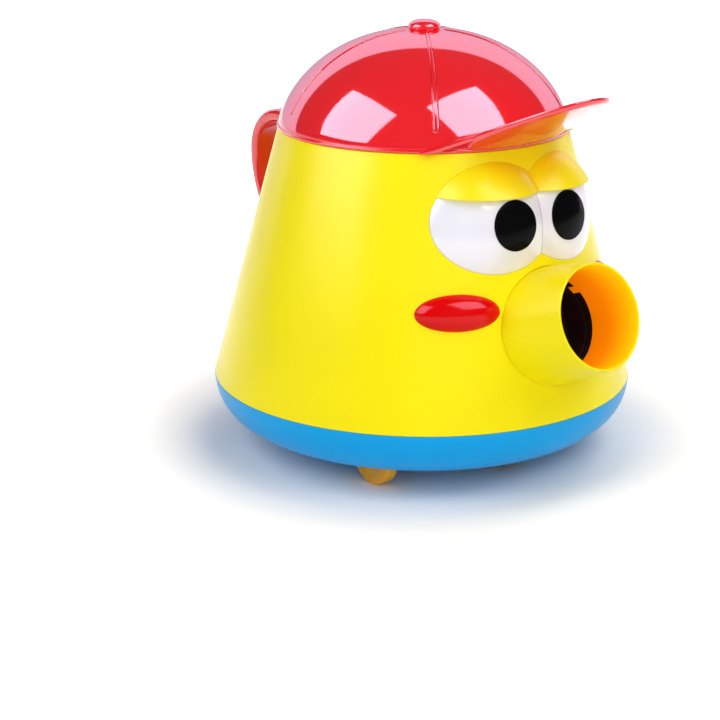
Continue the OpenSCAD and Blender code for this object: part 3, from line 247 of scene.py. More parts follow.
def lathe(profile, steps, place=Matrix(), closed=True, rounds=None):
    """A bmesh of a profile of (radius, height) points turned round Z and put in its place.

    rounds gives the rounding of some corners by their index.
    """
    bm = bmesh.new()
    verts = [bm.verts.new((r, 0, z)) for r, z in profile]
    pairs = list(zip(verts, verts[1:])) + ([(verts[-1], verts[0])] if closed else [])
    for pair in pairs:
        bm.edges.new(pair)
    for index, size in (rounds or {}).items():
        bmesh.ops.bevel(bm, geom=[verts[index]], offset=size, offset_type="OFFSET", affect="VERTICES", segments=6,
                        profile=0.5, material=-1, clamp_overlap=True)
    bmesh.ops.spin(bm, geom=bm.verts[:] + bm.edges[:], cent=(0, 0, 0), axis=(0, 0, 1), angle=2 * math.pi,
                   steps=steps, use_merge=True, use_duplicate=False)
    bmesh.ops.remove_doubles(bm, verts=bm.verts[:], dist=WELD)
    bmesh.ops.recalc_face_normals(bm, faces=bm.faces[:])
    return moved(bm, place)


def ball(radius, place, stretch=(1, 1, 1)):
    """A bmesh of a ball with its poles along the place's Z, stretched along its axes."""
    bm = bmesh.new()
    bmesh.ops.create_uvsphere(bm, u_segments=FINE, v_segments=MEDIUM, radius=radius,
                              matrix=place @ Matrix.Diagonal((*stretch, 1)))
    return bm


def brick(low, high):
    """A bmesh of a box between two corners."""
    low, high = Vector(low), Vector(high)
    bm = bmesh.new()
    bmesh.ops.create_cube(bm, size=1, matrix=Matrix.Translation((low + high) / 2)
                          @ Matrix.Diagonal((*(high - low), 1)))
    return bm


def cone(low, high, steps, place=Matrix()):
    """A bmesh of a solid cone between two (radius, height) ends."""
    return lathe([(0, low[1]), low, high, (0, high[1])], steps, place, closed=False)


def body_solid(sizes, grow=0.0):
    """A bmesh of the whole body cone, carried on past its ends and grown outwards."""
    past_seam, past_rim = 20 * MM, 40 * MM
    low, high = [(wall_r(sizes, z) + grow, z) for z in (sizes.seam_z - past_seam, sizes.rim_z + past_rim)]
    return cone(low, high, 2 * FINE)


def in_scene(name, bm):
    """A new object in the scene of a bmesh, which is used up."""
    mesh = bpy.data.meshes.new(name)
    bm.to_mesh(mesh)
    bm.free()
    obj = bpy.data.objects.new(name, mesh)
    bpy.context.scene.collection.objects.link(obj)
    return obj


def carve(bm, tool, operation="DIFFERENCE"):
    """A new bmesh of one cut by, joined to or kept inside another; both are used up."""
    pair = [in_scene("carving", shape) for shape in (bm, tool)]
    modifier = pair[0].modifiers.new("Carve", "BOOLEAN")
    modifier.object = pair[1]
    modifier.operation = operation
    modifier.solver = "EXACT"
    done = bmesh.new()
    done.from_object(pair[0], bpy.context.evaluated_depsgraph_get())
    for mesh in [obj.data for obj in pair]:
        bpy.data.meshes.remove(mesh)
    if not done.faces:
        raise RuntimeError("a carved piece came out empty")
    return done


def merged(*shapes):
    """One bmesh that holds several, which are used up."""
    whole = bmesh.new()
    for shape in shapes:
        mesh = bpy.data.meshes.new("merging")
        shape.to_mesh(mesh)
        shape.free()
        whole.from_mesh(mesh)
        bpy.data.meshes.remove(mesh)
    return whole


def piece(name, bm, slot, body, nodes, finish=None):
    """Makes a piece of a bmesh, which stands for CAD nodes and rides on their body.

    finish names its finish where that isn't the slot's own.
    """
    obj = in_scene(name, bm)
    if not obj.data.polygons:
        raise RuntimeError(f"{name} has no faces")
    obj.data.materials.append(FINISHES[finish or slot])
    obj.data.shade_smooth()
    obj.data.set_sharp_from_angle(angle=CREASE)
    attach(obj, body)
    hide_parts(*nodes)
    return obj


def set_node(tree, node, settings=None, links=None):
    """Sets a node's inputs or its own settings by name, and links sockets to its inputs."""
    for name, value in (settings or {}).items():
        if isinstance(name, int) or name in node.inputs:
            node.inputs[name].default_value = value
        else:
            setattr(node, name, value)
    for name, socket in (links or {}).items():
        tree.links.new(socket, node.inputs[name])
    return node


def add_node(tree, kind, settings=None, links=None):
    """Adds a node and sets it."""
    return set_node(tree, tree.nodes.new(kind), settings, links)


def span(from_low, from_high, to_low, to_high):
    """The settings of a node that carries one range over to another."""
    return {"From Min": from_low, "From Max": from_high, "To Min": to_low, "To Max": to_high}


def new_material(name):
    """A new material and its node tree."""
    material = bpy.data.materials.new(name)
    material.use_nodes = True
    return material, material.node_tree


def surfaced(material, settings, shade, gloss, bump):
    """The material with its shader set and linked to the nodes of its colour, gloss and relief."""
    tree = material.node_tree
    set_node(tree, tree.nodes["Principled BSDF"], settings,
             {"Base Color": shade.outputs["Color"], "Roughness": gloss.outputs["Result"],
              "Normal": bump.outputs["Normal"]})
    return material


def moulded(name, colour_value, rough, spread=0.04, grain=0.9, relief=0.004, settings=None):
    """A moulded plastic: a faint flow of tone from the mould, fine grain in the gloss and a soft waviness.

    grain is the size of the polish marks in millimetres, relief their depth in millimetres.
    """
    flow_size, wave_depth, edge_r = 45 * MM, 12 * relief * MM, 0.5 * MM
    material, tree = new_material(name)
    place = add_node(tree, "ShaderNodeTexCoord").outputs["Object"]
    flow = add_node(tree, "ShaderNodeTexNoise", {"Scale": 1 / flow_size, "Detail": 2.0, "Roughness": 0.4},
                    {"Vector": place})
    marks = add_node(tree, "ShaderNodeTexNoise", {"Scale": 1 / (grain * MM), "Detail": 3.0, "Roughness": 0.55},
                     {"Vector": place})
    tone = add_node(tree, "ShaderNodeMapRange", span(0.3, 0.7, 0.965, 1.02), {"Value": flow.outputs["Fac"]})
    shade = add_node(tree, "ShaderNodeHueSaturation", {"Color": colour_value}, {"Value": tone.outputs["Result"]})
    gloss = add_node(tree, "ShaderNodeMapRange", span(0.25, 0.75, max(rough - spread, 0.02), rough + spread),
                     {"Value": marks.outputs["Fac"]})
    corner = add_node(tree, "ShaderNodeBevel", {"samples": 4, "Radius": edge_r})
    wave = add_node(tree, "ShaderNodeBump", {"Strength": 0.35, "Distance": wave_depth},
                    {"Height": flow.outputs["Fac"], "Normal": corner.outputs["Normal"]})
    bump = add_node(tree, "ShaderNodeBump", {"Strength": 0.5, "Distance": relief * MM},
                    {"Height": marks.outputs["Fac"], "Normal": wave.outputs["Normal"]})
    return surfaced(material, {"IOR": 1.53, **(settings or {})}, shade, gloss, bump)


def deepen(material, colour_value, axis, shallow, deep):
    """Paints shade into a moulded finish: it passes to a second colour along an axis, between two distances from
    the origin.
    """
    tree = material.node_tree
    shade = next(node for node in tree.nodes if node.bl_idname == "ShaderNodeHueSaturation")
    place = add_node(tree, "ShaderNodeTexCoord").outputs["Object"]
    along = add_node(tree, "ShaderNodeVectorMath", {"operation": "DOT_PRODUCT", 1: axis}, {0: place})
    share = add_node(tree, "ShaderNodeMapRange", span(shallow, deep, 0, 1), {"Value": along.outputs["Value"]})
    first = shade.inputs["Color"].default_value[:]
    mix = add_node(tree, "ShaderNodeMix", {"data_type": "RGBA", 6: first, 7: colour_value},
                   {0: share.outputs["Result"]})
    set_node(tree, shade, links={"Color": mix.outputs[2]})


def bright_metal(name, code, rough):
    """A drawn or turned metal with fine lines across its length."""
    line_size, line_depth = 0.5 * MM, 0.01 * MM
    material, tree = new_material(name)
    place = add_node(tree, "ShaderNodeTexCoord").outputs["Object"]
    stretch = add_node(tree, "ShaderNodeMapping", {"Scale": (0.15, 1.0, 1.0)}, {"Vector": place})
    lines = add_node(tree, "ShaderNodeTexNoise", {"Scale": 1 / line_size, "Detail": 3.0},
                     {"Vector": stretch.outputs["Vector"]})
    blend = add_node(tree, "ShaderNodeMapRange", span(0.3, 0.7, 0.86, 1.05), {"Value": lines.outputs["Fac"]})
    shade = add_node(tree, "ShaderNodeHueSaturation", {"Color": srgb(code)}, {"Value": blend.outputs["Result"]})
    gloss = add_node(tree, "ShaderNodeMapRange", span(0.3, 0.7, rough * 0.7, rough * 1.4),
                     {"Value": lines.outputs["Fac"]})
    bump = add_node(tree, "ShaderNodeBump", {"Strength": 0.3, "Distance": line_depth},
                    {"Height": lines.outputs["Fac"]})
    return surfaced(material, {"Metallic": 1.0}, shade, gloss, bump)


def make_finishes(colours):
    """Every finish by its name, which is a material slot of the record or one that only this scene has."""
    calm = {"Specular IOR Level": 0.14}
    return {
        # Moulded ABS: deep even colour under a broad, faint sheen
        "body_yellow": moulded("Gloss ABS yellow", colours.yellow, 0.3, settings=calm),
        # The same yellow ABS inside the spout, with painted shade that deepens it to amber away from the mouth and
        # a painted amber glow that brightens the bore
        "bore_painted_shade_glow": moulded("Gloss ABS yellow, painted bore shade and glow", colours.yellow, 0.3, settings={
            **calm, "Emission Color": colours.amber, "Emission Strength": 0.26}),
        # Polished polystyrene: the glossiest moulding, with mirror-like patches of light
        "cap_red": moulded("Polished polystyrene red", colours.red, 0.07, 0.02, 0.6, 0.002,
                           {"IOR": 1.59, "Coat Weight": 0.4, "Coat Roughness": 0.03}),
        # Polystyrene in a deeper red: one small, weak highlight
        "cheek_red": moulded("Polished polystyrene cherry", colours.cheek, 0.1, 0.02, 0.6, 0.002, calm),
        # Satin ABS: even blue, paler along the rounded edge
        "tray_blue": moulded("Satin ABS blue", colours.blue, 0.3, settings=calm),
        # Polished ABS: clean white with a soft highlight
        "eye_white": moulded("Polished ABS white", colours.white, 0.16, 0.03),
        # Pad-printed enamel: deep black with hardly any reflection
        "pupil_black": moulded("Gloss enamel black", colours.black, 0.12, 0.03,
                               settings={"Specular IOR Level": 0.04}),
        # Inner ABS mouldings: dull black from an unpolished mould
        "inner_black": moulded("Matt ABS black", colours.black, 0.5, 0.06, 0.5, 0.02),
        # Inner frames from an eroded mould: fine matt grain
        "frame_grey": moulded("Matt ABS grey", srgb("#5C6066"), 0.5, 0.06, 0.5, 0.02),
        # Acetal gears: milky white with a waxy sheen
        "gear_white": moulded("Acetal white", srgb("#E9EAE4"), 0.34, 0.05, 0.8, 0.006),
        # Drawn steel wire, shafts and screws: bright grey with fine lines
        "steel": bright_metal("Drawn steel", "#B9BEC4", 0.24),
        # Turned brass pinions: warm yellow metal with fine lines
        "brass": bright_metal("Turned brass", "#C9A24A", 0.26),
        # Soft vinyl tyres: amber with a low sheen
        "tyre_yellow": moulded("Soft vinyl amber", colours.wheel, 0.45, 0.06, 0.7, 0.02),
        # Moulded ABS hubs: the tyres' amber with a clearer sheen
        "wheel_amber": moulded("Satin ABS amber", colours.wheel, 0.32),
        # Bare battery jackets: plain satin film
        "cell": moulded("Satin film grey", srgb("#8A8F96"), 0.3, 0.05),
        # Glass-fibre board: green lacquer with a fine uneven gloss
        "board_green": moulded("Lacquered board green", srgb("#1F6B3A"), 0.35, 0.06, 0.4, 0.01),
    }


class LauncherOperator(bpy.types.Operator):
    """Base of the operators that make pieces."""

    def execute(self, context):
        """Makes the pieces from the scene's sizes."""
        self.make(context.scene.launcher_sizes)
        return {"FINISHED"}


class LAUNCHER_OT_finishes(bpy.types.Operator):
    """Makes the finishes of all pieces"""

    bl_idname = "launcher.finishes"
    bl_label = "Finishes"

    def execute(self, context):
        """Fills the table of finishes from the scene's colours."""
        FINISHES.update(make_finishes(context.scene.launcher_colours))
        return {"FINISHED"}


class LAUNCHER_OT_body(LauncherOperator):
    """Makes the cone-shaped body shell"""

    bl_idname = "launcher.body"
    bl_label = "Body shell"

    def make(self, sizes):
        """Turns the wall with its ledge and cuts the hole for the spout."""
        ledge_drop, ledge_t, ledge_w = 5 * MM, 2 * MM, 5.2 * MM
        hole_in, hole_out = 40 * MM, 20 * MM
        ledge_z = sizes.rim_z - ledge_drop
        under_z = ledge_z - ledge_t
        ledge_r = wall_r(sizes, under_z) - sizes.wall - ledge_w
        inner = [(wall_r(sizes, z) - sizes.wall, z) for z in (sizes.rim_z, ledge_z, under_z, sizes.seam_z)]
        profile = [(sizes.seam_r, sizes.seam_z), (sizes.rim_r, sizes.rim_z), inner[0], inner[1],
                   (ledge_r, ledge_z), (ledge_r, under_z), inner[2], inner[3]]
        shell = lathe(profile, 2 * FINE, rounds={0: 0.5 * MM, 1: 0.6 * MM, 2: 0.5 * MM})
        hole_r = sizes.neck_r + sizes.gap
        hole = cone((hole_r, -hole_in), (hole_r, hole_out), FINE, spout_frame(sizes))
        piece("body_shell_moulding", carve(shell, hole), "body_yellow", "chassis", ["body_shell"])


class LAUNCHER_OT_spout(LauncherOperator):
    """Makes the spout"""

    bl_idname = "launcher.spout"
    bl_label = "Spout"

    def make(self, sizes):
        """Turns the flared spout with its rounded mouth, and fits its root to the body."""
        lip_round, room = 0.6 * MM, 0.25 * MM
        place = spout_frame(sizes)
        step, seat = sizes.gap - sizes.sleeve_at, sizes.sleeve_r + sizes.gap
        mouth = [(sizes.spout_bore + sizes.mouth_flare, sizes.spout_len), (sizes.mouth_r, sizes.spout_len)]
        inside = [(seat, -sizes.spout_in), (seat, step), (sizes.spout_bore, step)]
        lined = (sizes.spout_bore, sizes.lining)
        outer = lathe(mouth + [(sizes.root_r, -sizes.spout_in)] + inside + [lined], FINE, place,
                      rounds={0: lip_round, 1: lip_round})
        outer = carve(outer, body_solid(sizes, room))
        neck = lathe([lined, (sizes.neck_r, sizes.lining), (sizes.neck_r, -sizes.spout_in)] + inside, FINE, place)
        shape = merged(carve(outer, neck, "UNION"), self.make_key(sizes, place, seat, step))
        spout = piece("spout_moulding", shape, "body_yellow", "chassis", ["spout"])
        self.paint_bore(sizes, spout.data, place, seat)

    def make_key(self, sizes, place, seat, step):
        """The key that keeps the launch tube's sleeve from turning."""
        half_w, deep, turn = 3 * MM, 4 * MM, math.pi / 4
        key = brick((sizes.spout_bore + sizes.gap, -half_w, -sizes.sleeve_at - deep),
                    (seat + sizes.gap, half_w, step + sizes.gap))
        return moved(key, place @ Matrix.Rotation(turn, 4, "Z"))

    def paint_bore(self, sizes, mesh, place, seat):
        """Gives the bore painted shade, an amber that deepens from the mouth under a painted glow, and the lining
        its black except at the key.
        """
        # Face indices: 1 takes the bore's painted shade and glow, 2 the black lining
        amber, black = 1, 2
        slack, rim = 0.2 * MM, 0.1 * MM
        pale_to, deep_from = 1 * MM, 20 * MM
        for name in ("bore_painted_shade_glow", "inner_black"):
            mesh.materials.append(FINISHES[name])
        key_half = sizes.key_w / 2 / sizes.spout_bore
        back = place.inverted()
        for face in mesh.polygons:
            middle = back @ face.center
            if middle.xy.length < seat + slack and middle.z < sizes.spout_len - rim:
                off_key = abs(math.atan2(middle.y, middle.x) - sizes.key_turn) > key_half
                face.material_index = black if middle.z < sizes.lining and off_key else amber
        axis = place.to_3x3() @ Vector((0, 0, 1))
        mouth = (place @ Vector((0, 0, sizes.spout_len))).dot(axis)
        deepen(FINISHES["bore_painted_shade_glow"], bpy.context.scene.launcher_colours.amber[:], axis, mouth - pale_to,
               mouth - deep_from)


class LAUNCHER_OT_eyes(LauncherOperator):
    """Makes the eyes and pupils"""

    bl_idname = "launcher.eyes"
    bl_label = "Eyes"

    def make(self, sizes):
        """Cuts each eye from a ball and lays a thin pupil on it."""
        radius = ball_r(sizes.eye_r, sizes.eye_bulge)
        for side, name in SIDES:
            place = wall_frame(sizes, sizes.eye_h, side * eye_turn(sizes))
            centre = place @ Matrix.Translation((0, 0, sizes.eye_bulge - radius))
            eye = carve(ball(radius, centre), body_solid(sizes))
            low_x, high_x = sorted((side * sizes.gap / 2, -side * REACH))
            eye = carve(eye, brick((low_x, -REACH, 0), (high_x, REACH, 2 * REACH)))
            piece(f"{name}_eye_dome", eye, "eye_white", "chassis", [f"{name}_eye"])
            pupil = self.make_pupil(sizes, radius, side, centre)
            piece(f"{name}_pupil_disc", pupil, "pupil_black", "chassis", [f"{name}_pupil"])

    def make_pupil(self, sizes, radius, side, centre):
        """A thin rounded disc that follows the eye's ball, set towards the middle and down."""
        inwards, down, sunk, steps = 7 * MM, 3 * MM, 0.2 * MM, 12
        target = Vector((-side * inwards, -down, radius))
        turn = Vector((0, 0, 1)).rotation_difference(target).to_matrix().to_4x4()
        outer, inner = radius + sizes.pupil_t, radius - sunk
        half = math.asin(sizes.pupil_r / outer)
        arc = [half * i / steps for i in range(steps + 1)]
        profile = ([(outer * math.sin(a), outer * math.cos(a)) for a in arc]
                   + [(inner * math.sin(a), inner * math.cos(a)) for a in reversed(arc)])
        return lathe(profile, MEDIUM, centre @ turn, closed=False, rounds={steps: 0.5 * MM})


class LAUNCHER_OT_brow(LauncherOperator):
    """Makes the brow hood over the eyes"""

    bl_idname = "launcher.brow"
    bl_label = "Brow hood"

    def make(self, sizes):
        """Joins two domes, cuts their level lower edge and fits them to the body."""
        radius = ball_r(sizes.brow_r, sizes.brow_bulge)
        places = [wall_frame(sizes, sizes.eye_h, side * eye_turn(sizes)) for side in (-1, 1)]
        lobes = [ball(radius, place @ Matrix.Translation((0, 0, sizes.brow_bulge - radius))) for place in places]
        low = sizes.seam_z + sizes.eye_h + sizes.brow_lift
        room = brick((-REACH, -REACH, low), (REACH, 0, sizes.rim_z - 2 * sizes.gap))
        brow = carve(carve(*lobes, "UNION"), room, "INTERSECT")
        piece("brow_moulding", carve(brow, body_solid(sizes)), "body_yellow", "chassis", ["brow_hood"])


class LAUNCHER_OT_cheeks(LauncherOperator):
    """Makes the oval cheeks"""

    bl_idname = "launcher.cheeks"
    bl_label = "Cheeks"

    def make(self, sizes):
        """Cuts each cheek from a stretched ball."""
        radius = ball_r(sizes.cheek_tall / 2, sizes.cheek_bulge)
        stretch = (sizes.cheek_w / sizes.cheek_tall, 1, 1)
        for side, name in SIDES:
            place = (wall_frame(sizes, sizes.cheek_h, side * sizes.cheek_turn)
                     @ Matrix.Translation((0, 0, sizes.cheek_bulge - radius)))
            cheek = carve(ball(radius, place, stretch), body_solid(sizes))
            piece(f"{name}_cheek_oval", cheek, "cap_red", "chassis", [f"{name}_cheek"], "cheek_red")


def dome_point(sizes, a, grow=0.0):
    """Radius and height above the rim of the dome at an angle up from the rim."""
    return ((sizes.rim_r + grow) * math.cos(a) ** DOME_OUT, (sizes.cap_h + grow) * math.sin(a) ** DOME_UP)


class LAUNCHER_OT_cap(LauncherOperator):
    """Makes the cap: dome, visor and button"""

    bl_idname = "launcher.cap"
    bl_label = "Cap"

    def make(self, sizes):
        """Turns the dome and button, and bends the ribs and the visor from grids."""
        place = Matrix.Translation((0, 0, sizes.rim_z + sizes.gap))
        self.make_dome(sizes, place)
        self.make_button(sizes, place)
        self.make_visor(sizes, place)

    def make_dome(self, sizes, place):
        """The dome with its lip band, ribs and hinge knuckle."""
        steps, clear = 48, 0.4 * MM
        angles = [QUARTER * i / steps for i in range(steps + 1)]
        lip_r = sizes.rim_r + sizes.lip_show
        outside = [p for p in (dome_point(sizes, a) for a in angles) if p[1] > sizes.lip_h + clear]
        inside = [dome_point(sizes, a, -sizes.wall) for a in reversed(angles)]
        band = [(inside[-1][0], 0), (lip_r, 0), (lip_r, sizes.lip_h), (outside[0][0], sizes.lip_h)]
        corner = len(inside)
        dome = lathe(inside[:-1] + band + outside, 2 * FINE, place, closed=False,
                     rounds={corner: 0.5 * MM, corner + 1: 0.6 * MM, corner + 2: 0.3 * MM})
        ribs = [self.make_rib(sizes, place, math.radians(turn)) for turn in range(36, 360, 72)]
        piece("cap_dome_moulding", merged(dome, self.make_knuckle(sizes), *ribs), "cap_red", "cap", ["cap_dome"])

    def make_knuckle(self, sizes):
        """The hinge knuckle behind the dome, and the web that joins them."""
        pin_r, outer_r, half = 1.55 * MM, 3.6 * MM, 7 * MM
        hinge_y, hinge_z = 81.15 * MM, 170 * MM
        web_from, web_to, web_top = 73.6 * MM, 79.5 * MM, 173.6 * MM
        knuckle = lathe([(pin_r, -half), (outer_r, -half), (outer_r, half), (pin_r, half)], MEDIUM,
                        Matrix.Translation((0, hinge_y, hinge_z)) @ Matrix.Rotation(QUARTER, 4, "Y"),
                        rounds={1: 0.5 * MM, 2: 0.5 * MM})
        return merged(knuckle, brick((-half, web_from, sizes.rim_z + sizes.gap), (half, web_to, web_top)))

    def make_rib(self, sizes, place, turn):
        """A raised rib that follows the dome and narrows towards the crown, made from a grid."""
        low_a, high_a = math.radians(15.8), math.radians(84)
        # Shares of the grid over which the rib rises at its ends and its flanks
        low_end, high_end, flank = 0.05, 0.02, 0.45
        taper, sunk = 0.25, 0.25
        bm = bmesh.new()
        bmesh.ops.create_grid(bm, x_segments=96, y_segments=12, size=1)
        for vert in bm.verts:
            along, across = vert.co.x, vert.co.y
            a = low_a + (high_a - low_a) * (along + 1) / 2
            end = min(1.0, (along + 1) / low_end, (1 - along) / high_end)
            top = max(0.0, min(1.0, (1 - abs(across)) / flank)) * end
            side = across * sizes.rib_w / 2 * (1 - taper - taper * along)
            r, z = dome_point(sizes, a, sizes.rib_h * ((1 - sunk) * top - sunk))
            vert.co = (side, -math.sqrt(max(r * r - side * side, 0)), z)
        bmesh.ops.recalc_face_normals(bm, faces=bm.faces[:])
        return moved(bm, place @ Matrix.Rotation(turn, 4, "Z"))

    def make_button(self, sizes, place):
        """The crown button, a flattened ball that is sunk into the dome."""
        thick, sunk, fullness, steps = 0.58, 1.4 * MM, 0.8, 24
        half = sizes.button_h * thick
        middle = sizes.cap_h + sizes.button_h - half - sunk
        arc = [math.pi * (i / steps - 0.5) for i in range(steps + 1)]
        profile = [(sizes.button_r * math.cos(a) ** fullness, middle + half * math.sin(a)) for a in arc]
        button = lathe(profile, MEDIUM, place, closed=False)
        piece("cap_button_moulding", button, "cap_red", "cap", ["cap_button"])

    def make_visor(self, sizes, place):
        """The visor: a grid wrapped round its wedge-shaped sections, with a foot on the lip band.

        The grid runs from the underside's root, -1, round the edge, 0, to the top's root, 1. The underside slopes
        from the lip up to the edge.
        """
        sunk, lower_out, edge_round, short = 2.2 * MM, 1.4 * MM, 1.1 * MM, 0.1 * MM
        edge_share, fullness = 0.3, 0.85
        root_r = sizes.rim_r - sunk
        narrow, wide = math.radians(4), math.asin(sizes.visor_half_w / root_r)
        bm = bmesh.new()
        bmesh.ops.create_grid(bm, x_segments=120, y_segments=48, size=1)
        for vert in bm.verts:
            across, wrap = vert.co.x, vert.co.y
            bend = min(abs(wrap) / edge_share, 1.0) * QUARTER
            seat_r = root_r + (lower_out * math.sin(bend) if wrap < 0 else 0)
            root = Vector((seat_r * math.sin(across * wide), -seat_r * math.cos(across * wide)))
            a = QUARTER - across * (QUARTER - narrow)
            nose = sizes.visor_nose
            edge = Vector((sizes.visor_half_w * signed_power(math.cos(a), fullness),
                           nose - sizes.visor_reach - nose * math.sin(a)))
            full = (edge - root).length
            corner = min(edge_round, full / 2)
            out = (full - corner) * min((1 - abs(wrap)) / (1 - edge_share), 1.0) + corner * math.cos(bend)
            share = min(out / full, 1.0) if full > short else 0.0
            flat = root.lerp(edge, share)
            rise = sizes.visor_t / 2 * (1 + math.copysign(math.sin(bend), wrap)) / math.cos(sizes.visor_tilt)
            if wrap < 0:
                drop = max(self.visor_up(sizes, root.x, root.y), 0)
                rise -= drop * math.sin(bend) * (1 - share) if full > short else drop
            vert.co = (flat.x, flat.y, self.visor_up(sizes, flat.x, flat.y) + rise)
        visor = moved(merged(sealed(bm), self.make_foot(sizes)), place)
        piece("cap_visor_moulding", visor, "cap_red", "cap", ["cap_visor"])

    def visor_up(self, sizes, x, y):
        """Height of the arched, tilted visor above the rim, without its wedge."""
        droop = sizes.visor_arch_r - math.sqrt(sizes.visor_arch_r ** 2 - x * x)
        return (sizes.visor_root_h - (y + sizes.rim_r) * math.tan(sizes.visor_tilt)
                - droop / math.cos(sizes.visor_tilt))

    def make_foot(self, sizes):
        """The visor's foot: a thin rounded strip that runs down along the lip band on both sides."""
        half, sunk, thin, squareness = math.radians(42.3), 0.4 * MM, 0.05 * MM, 0.5
        inner, outer = sizes.rim_r + sunk, sizes.rim_r + sizes.visor_foot
        bm = bmesh.new()
        bmesh.ops.create_grid(bm, x_segments=80, y_segments=24, size=1)
        for vert in bm.verts:
            turn, round_a = half * vert.co.x, math.pi * vert.co.y
            r = (inner + outer) / 2 + (outer - inner) / 2 * signed_power(math.cos(round_a), squareness)
            low = self.visor_up(sizes, outer * math.sin(turn), -outer * math.cos(turn))
            high = max(low + sizes.visor_t / math.cos(sizes.visor_tilt), thin)
            low = max(low, 0)
            z = (low + high) / 2 + (high - low) / 2 * signed_power(math.sin(round_a), squareness)
            vert.co = (r * math.sin(turn), -r * math.cos(turn), z)
        return sealed(bm)


class LAUNCHER_OT_wheels(LauncherOperator):
    """Makes the drive wheels and their tyres"""

    bl_idname = "launcher.wheels"
    bl_label = "Wheels"

    def make(self, sizes):
        """Turns each wheel with its raised ring and dished face, and its rounded tyre."""
        half, rim = sizes.wheel_w / 2, sizes.wheel_r - 2.2 * MM
        axle, hub, ring = 1.5 * MM, 4 * MM, rim - 2 * MM
        dish, slope = half - 0.8 * MM, 0.5 * MM
        tread, shoulder = half - 0.6 * MM, 0.9 * MM
        outside = [(axle, half), (hub, half), (hub + slope, dish), (ring - slope, dish), (ring, half), (rim, half)]
        profile = outside + [(r, -z) for r, z in reversed(outside)]
        rounds = {i: 0.3 * MM for i in range(1, len(profile) - 1)}
        band = [(rim, tread), (sizes.wheel_r, tread), (sizes.wheel_r, -tread), (rim, -tread)]
        for _, name in SIDES:
            low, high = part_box(f"{name}_wheel")
            place = Matrix.Translation((low + high) / 2) @ Matrix.Rotation(QUARTER, 4, "Y")
            wheel = lathe(profile, MEDIUM, place, rounds=rounds)
            piece(f"{name}_wheel_hub", wheel, "body_yellow", "drive_axle", [f"{name}_wheel"], "wheel_amber")
            tyre = lathe(band, MEDIUM, place, rounds={1: shoulder, 2: shoulder})
            piece(f"{name}_tyre_band", tyre, "tyre_yellow", "drive_axle", [f"{name}_tyre"])


class LAUNCHER_OT_screws(LauncherOperator):
    """Makes the screws that show under the base"""

    bl_idname = "launcher.screws"
    bl_label = "Base screws"

    def make(self, sizes):
        """Turns the screws round the base and the screw of the battery door."""
        turns, out = (30, 115, -115, -30), 84 * MM
        low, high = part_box("base_screws")
        places = [Matrix.Rotation(math.radians(turn), 4, "Z") @ Matrix.Translation((0, -out, low.z))
                  for turn in turns]
        screws = merged(*[self.make_screw(place, high.z - low.z) for place in places])
        piece("base_screw_set", screws, "steel", "chassis", ["base_screws"])
        low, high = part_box("battery_door_screw")
        place = Matrix.Translation(((low.x + high.x) / 2, (low.y + high.y) / 2, low.z))
        piece("battery_door_fixing", self.make_screw(place, high.z - low.z), "steel", "chassis",
              ["battery_door_screw"])

    def make_screw(self, place, tall):
        """A pan-head screw that points up, with its head at the bottom and a cross recess in it."""
        head, head_h, shank = 3 * MM, 2 * MM, 1.5 * MM
        slot_len, slot_w, slot_deep, below = 4.2 * MM, 0.9 * MM, 1.1 * MM, 1 * MM
        screw = lathe([(0, 0), (head, 0), (head, head_h), (shank, head_h), (shank, tall), (0, tall)], MEDIUM // 2,
                      closed=False, rounds={1: 0.8 * MM})
        for x, y in ((slot_len / 2, slot_w / 2), (slot_w / 2, slot_len / 2)):
            screw = carve(screw, brick((-x, -y, -below), (x, y, slot_deep)))
        return moved(screw, place)


class LAUNCHER_OT_spring(LauncherOperator):
    """Makes the plunger's return spring"""

    bl_idname = "launcher.spring"
    bl_label = "Plunger spring"

    def make(self, sizes):
        """Spins a wire ring along the tube's axis."""
        front, rear = 51.0 * MM, 89.3 * MM
        steps = 28 * sizes.spring_turns
        place = spout_frame(sizes) @ Matrix.Rotation(math.pi, 4, "X") @ Matrix.Translation((0, 0, front))
        start = Matrix.Translation((sizes.spring_r, 0, 0)) @ Matrix.Rotation(QUARTER, 4, "X")
        bm = bmesh.new()
        bmesh.ops.create_circle(bm, segments=12, radius=sizes.spring_wire / 2, matrix=start)
        bmesh.ops.spin(bm, geom=bm.verts[:] + bm.edges[:], cent=(0, 0, 0), axis=(0, 0, 1),
                       dvec=(0, 0, (rear - front) / steps), angle=2 * math.pi * sizes.spring_turns, steps=steps,
                       use_merge=False, use_duplicate=False)
        spring = piece("plunger_spring_coil", moved(sealed(bm), place), "steel", "chassis", ["plunger_spring"])
        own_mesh(spring)


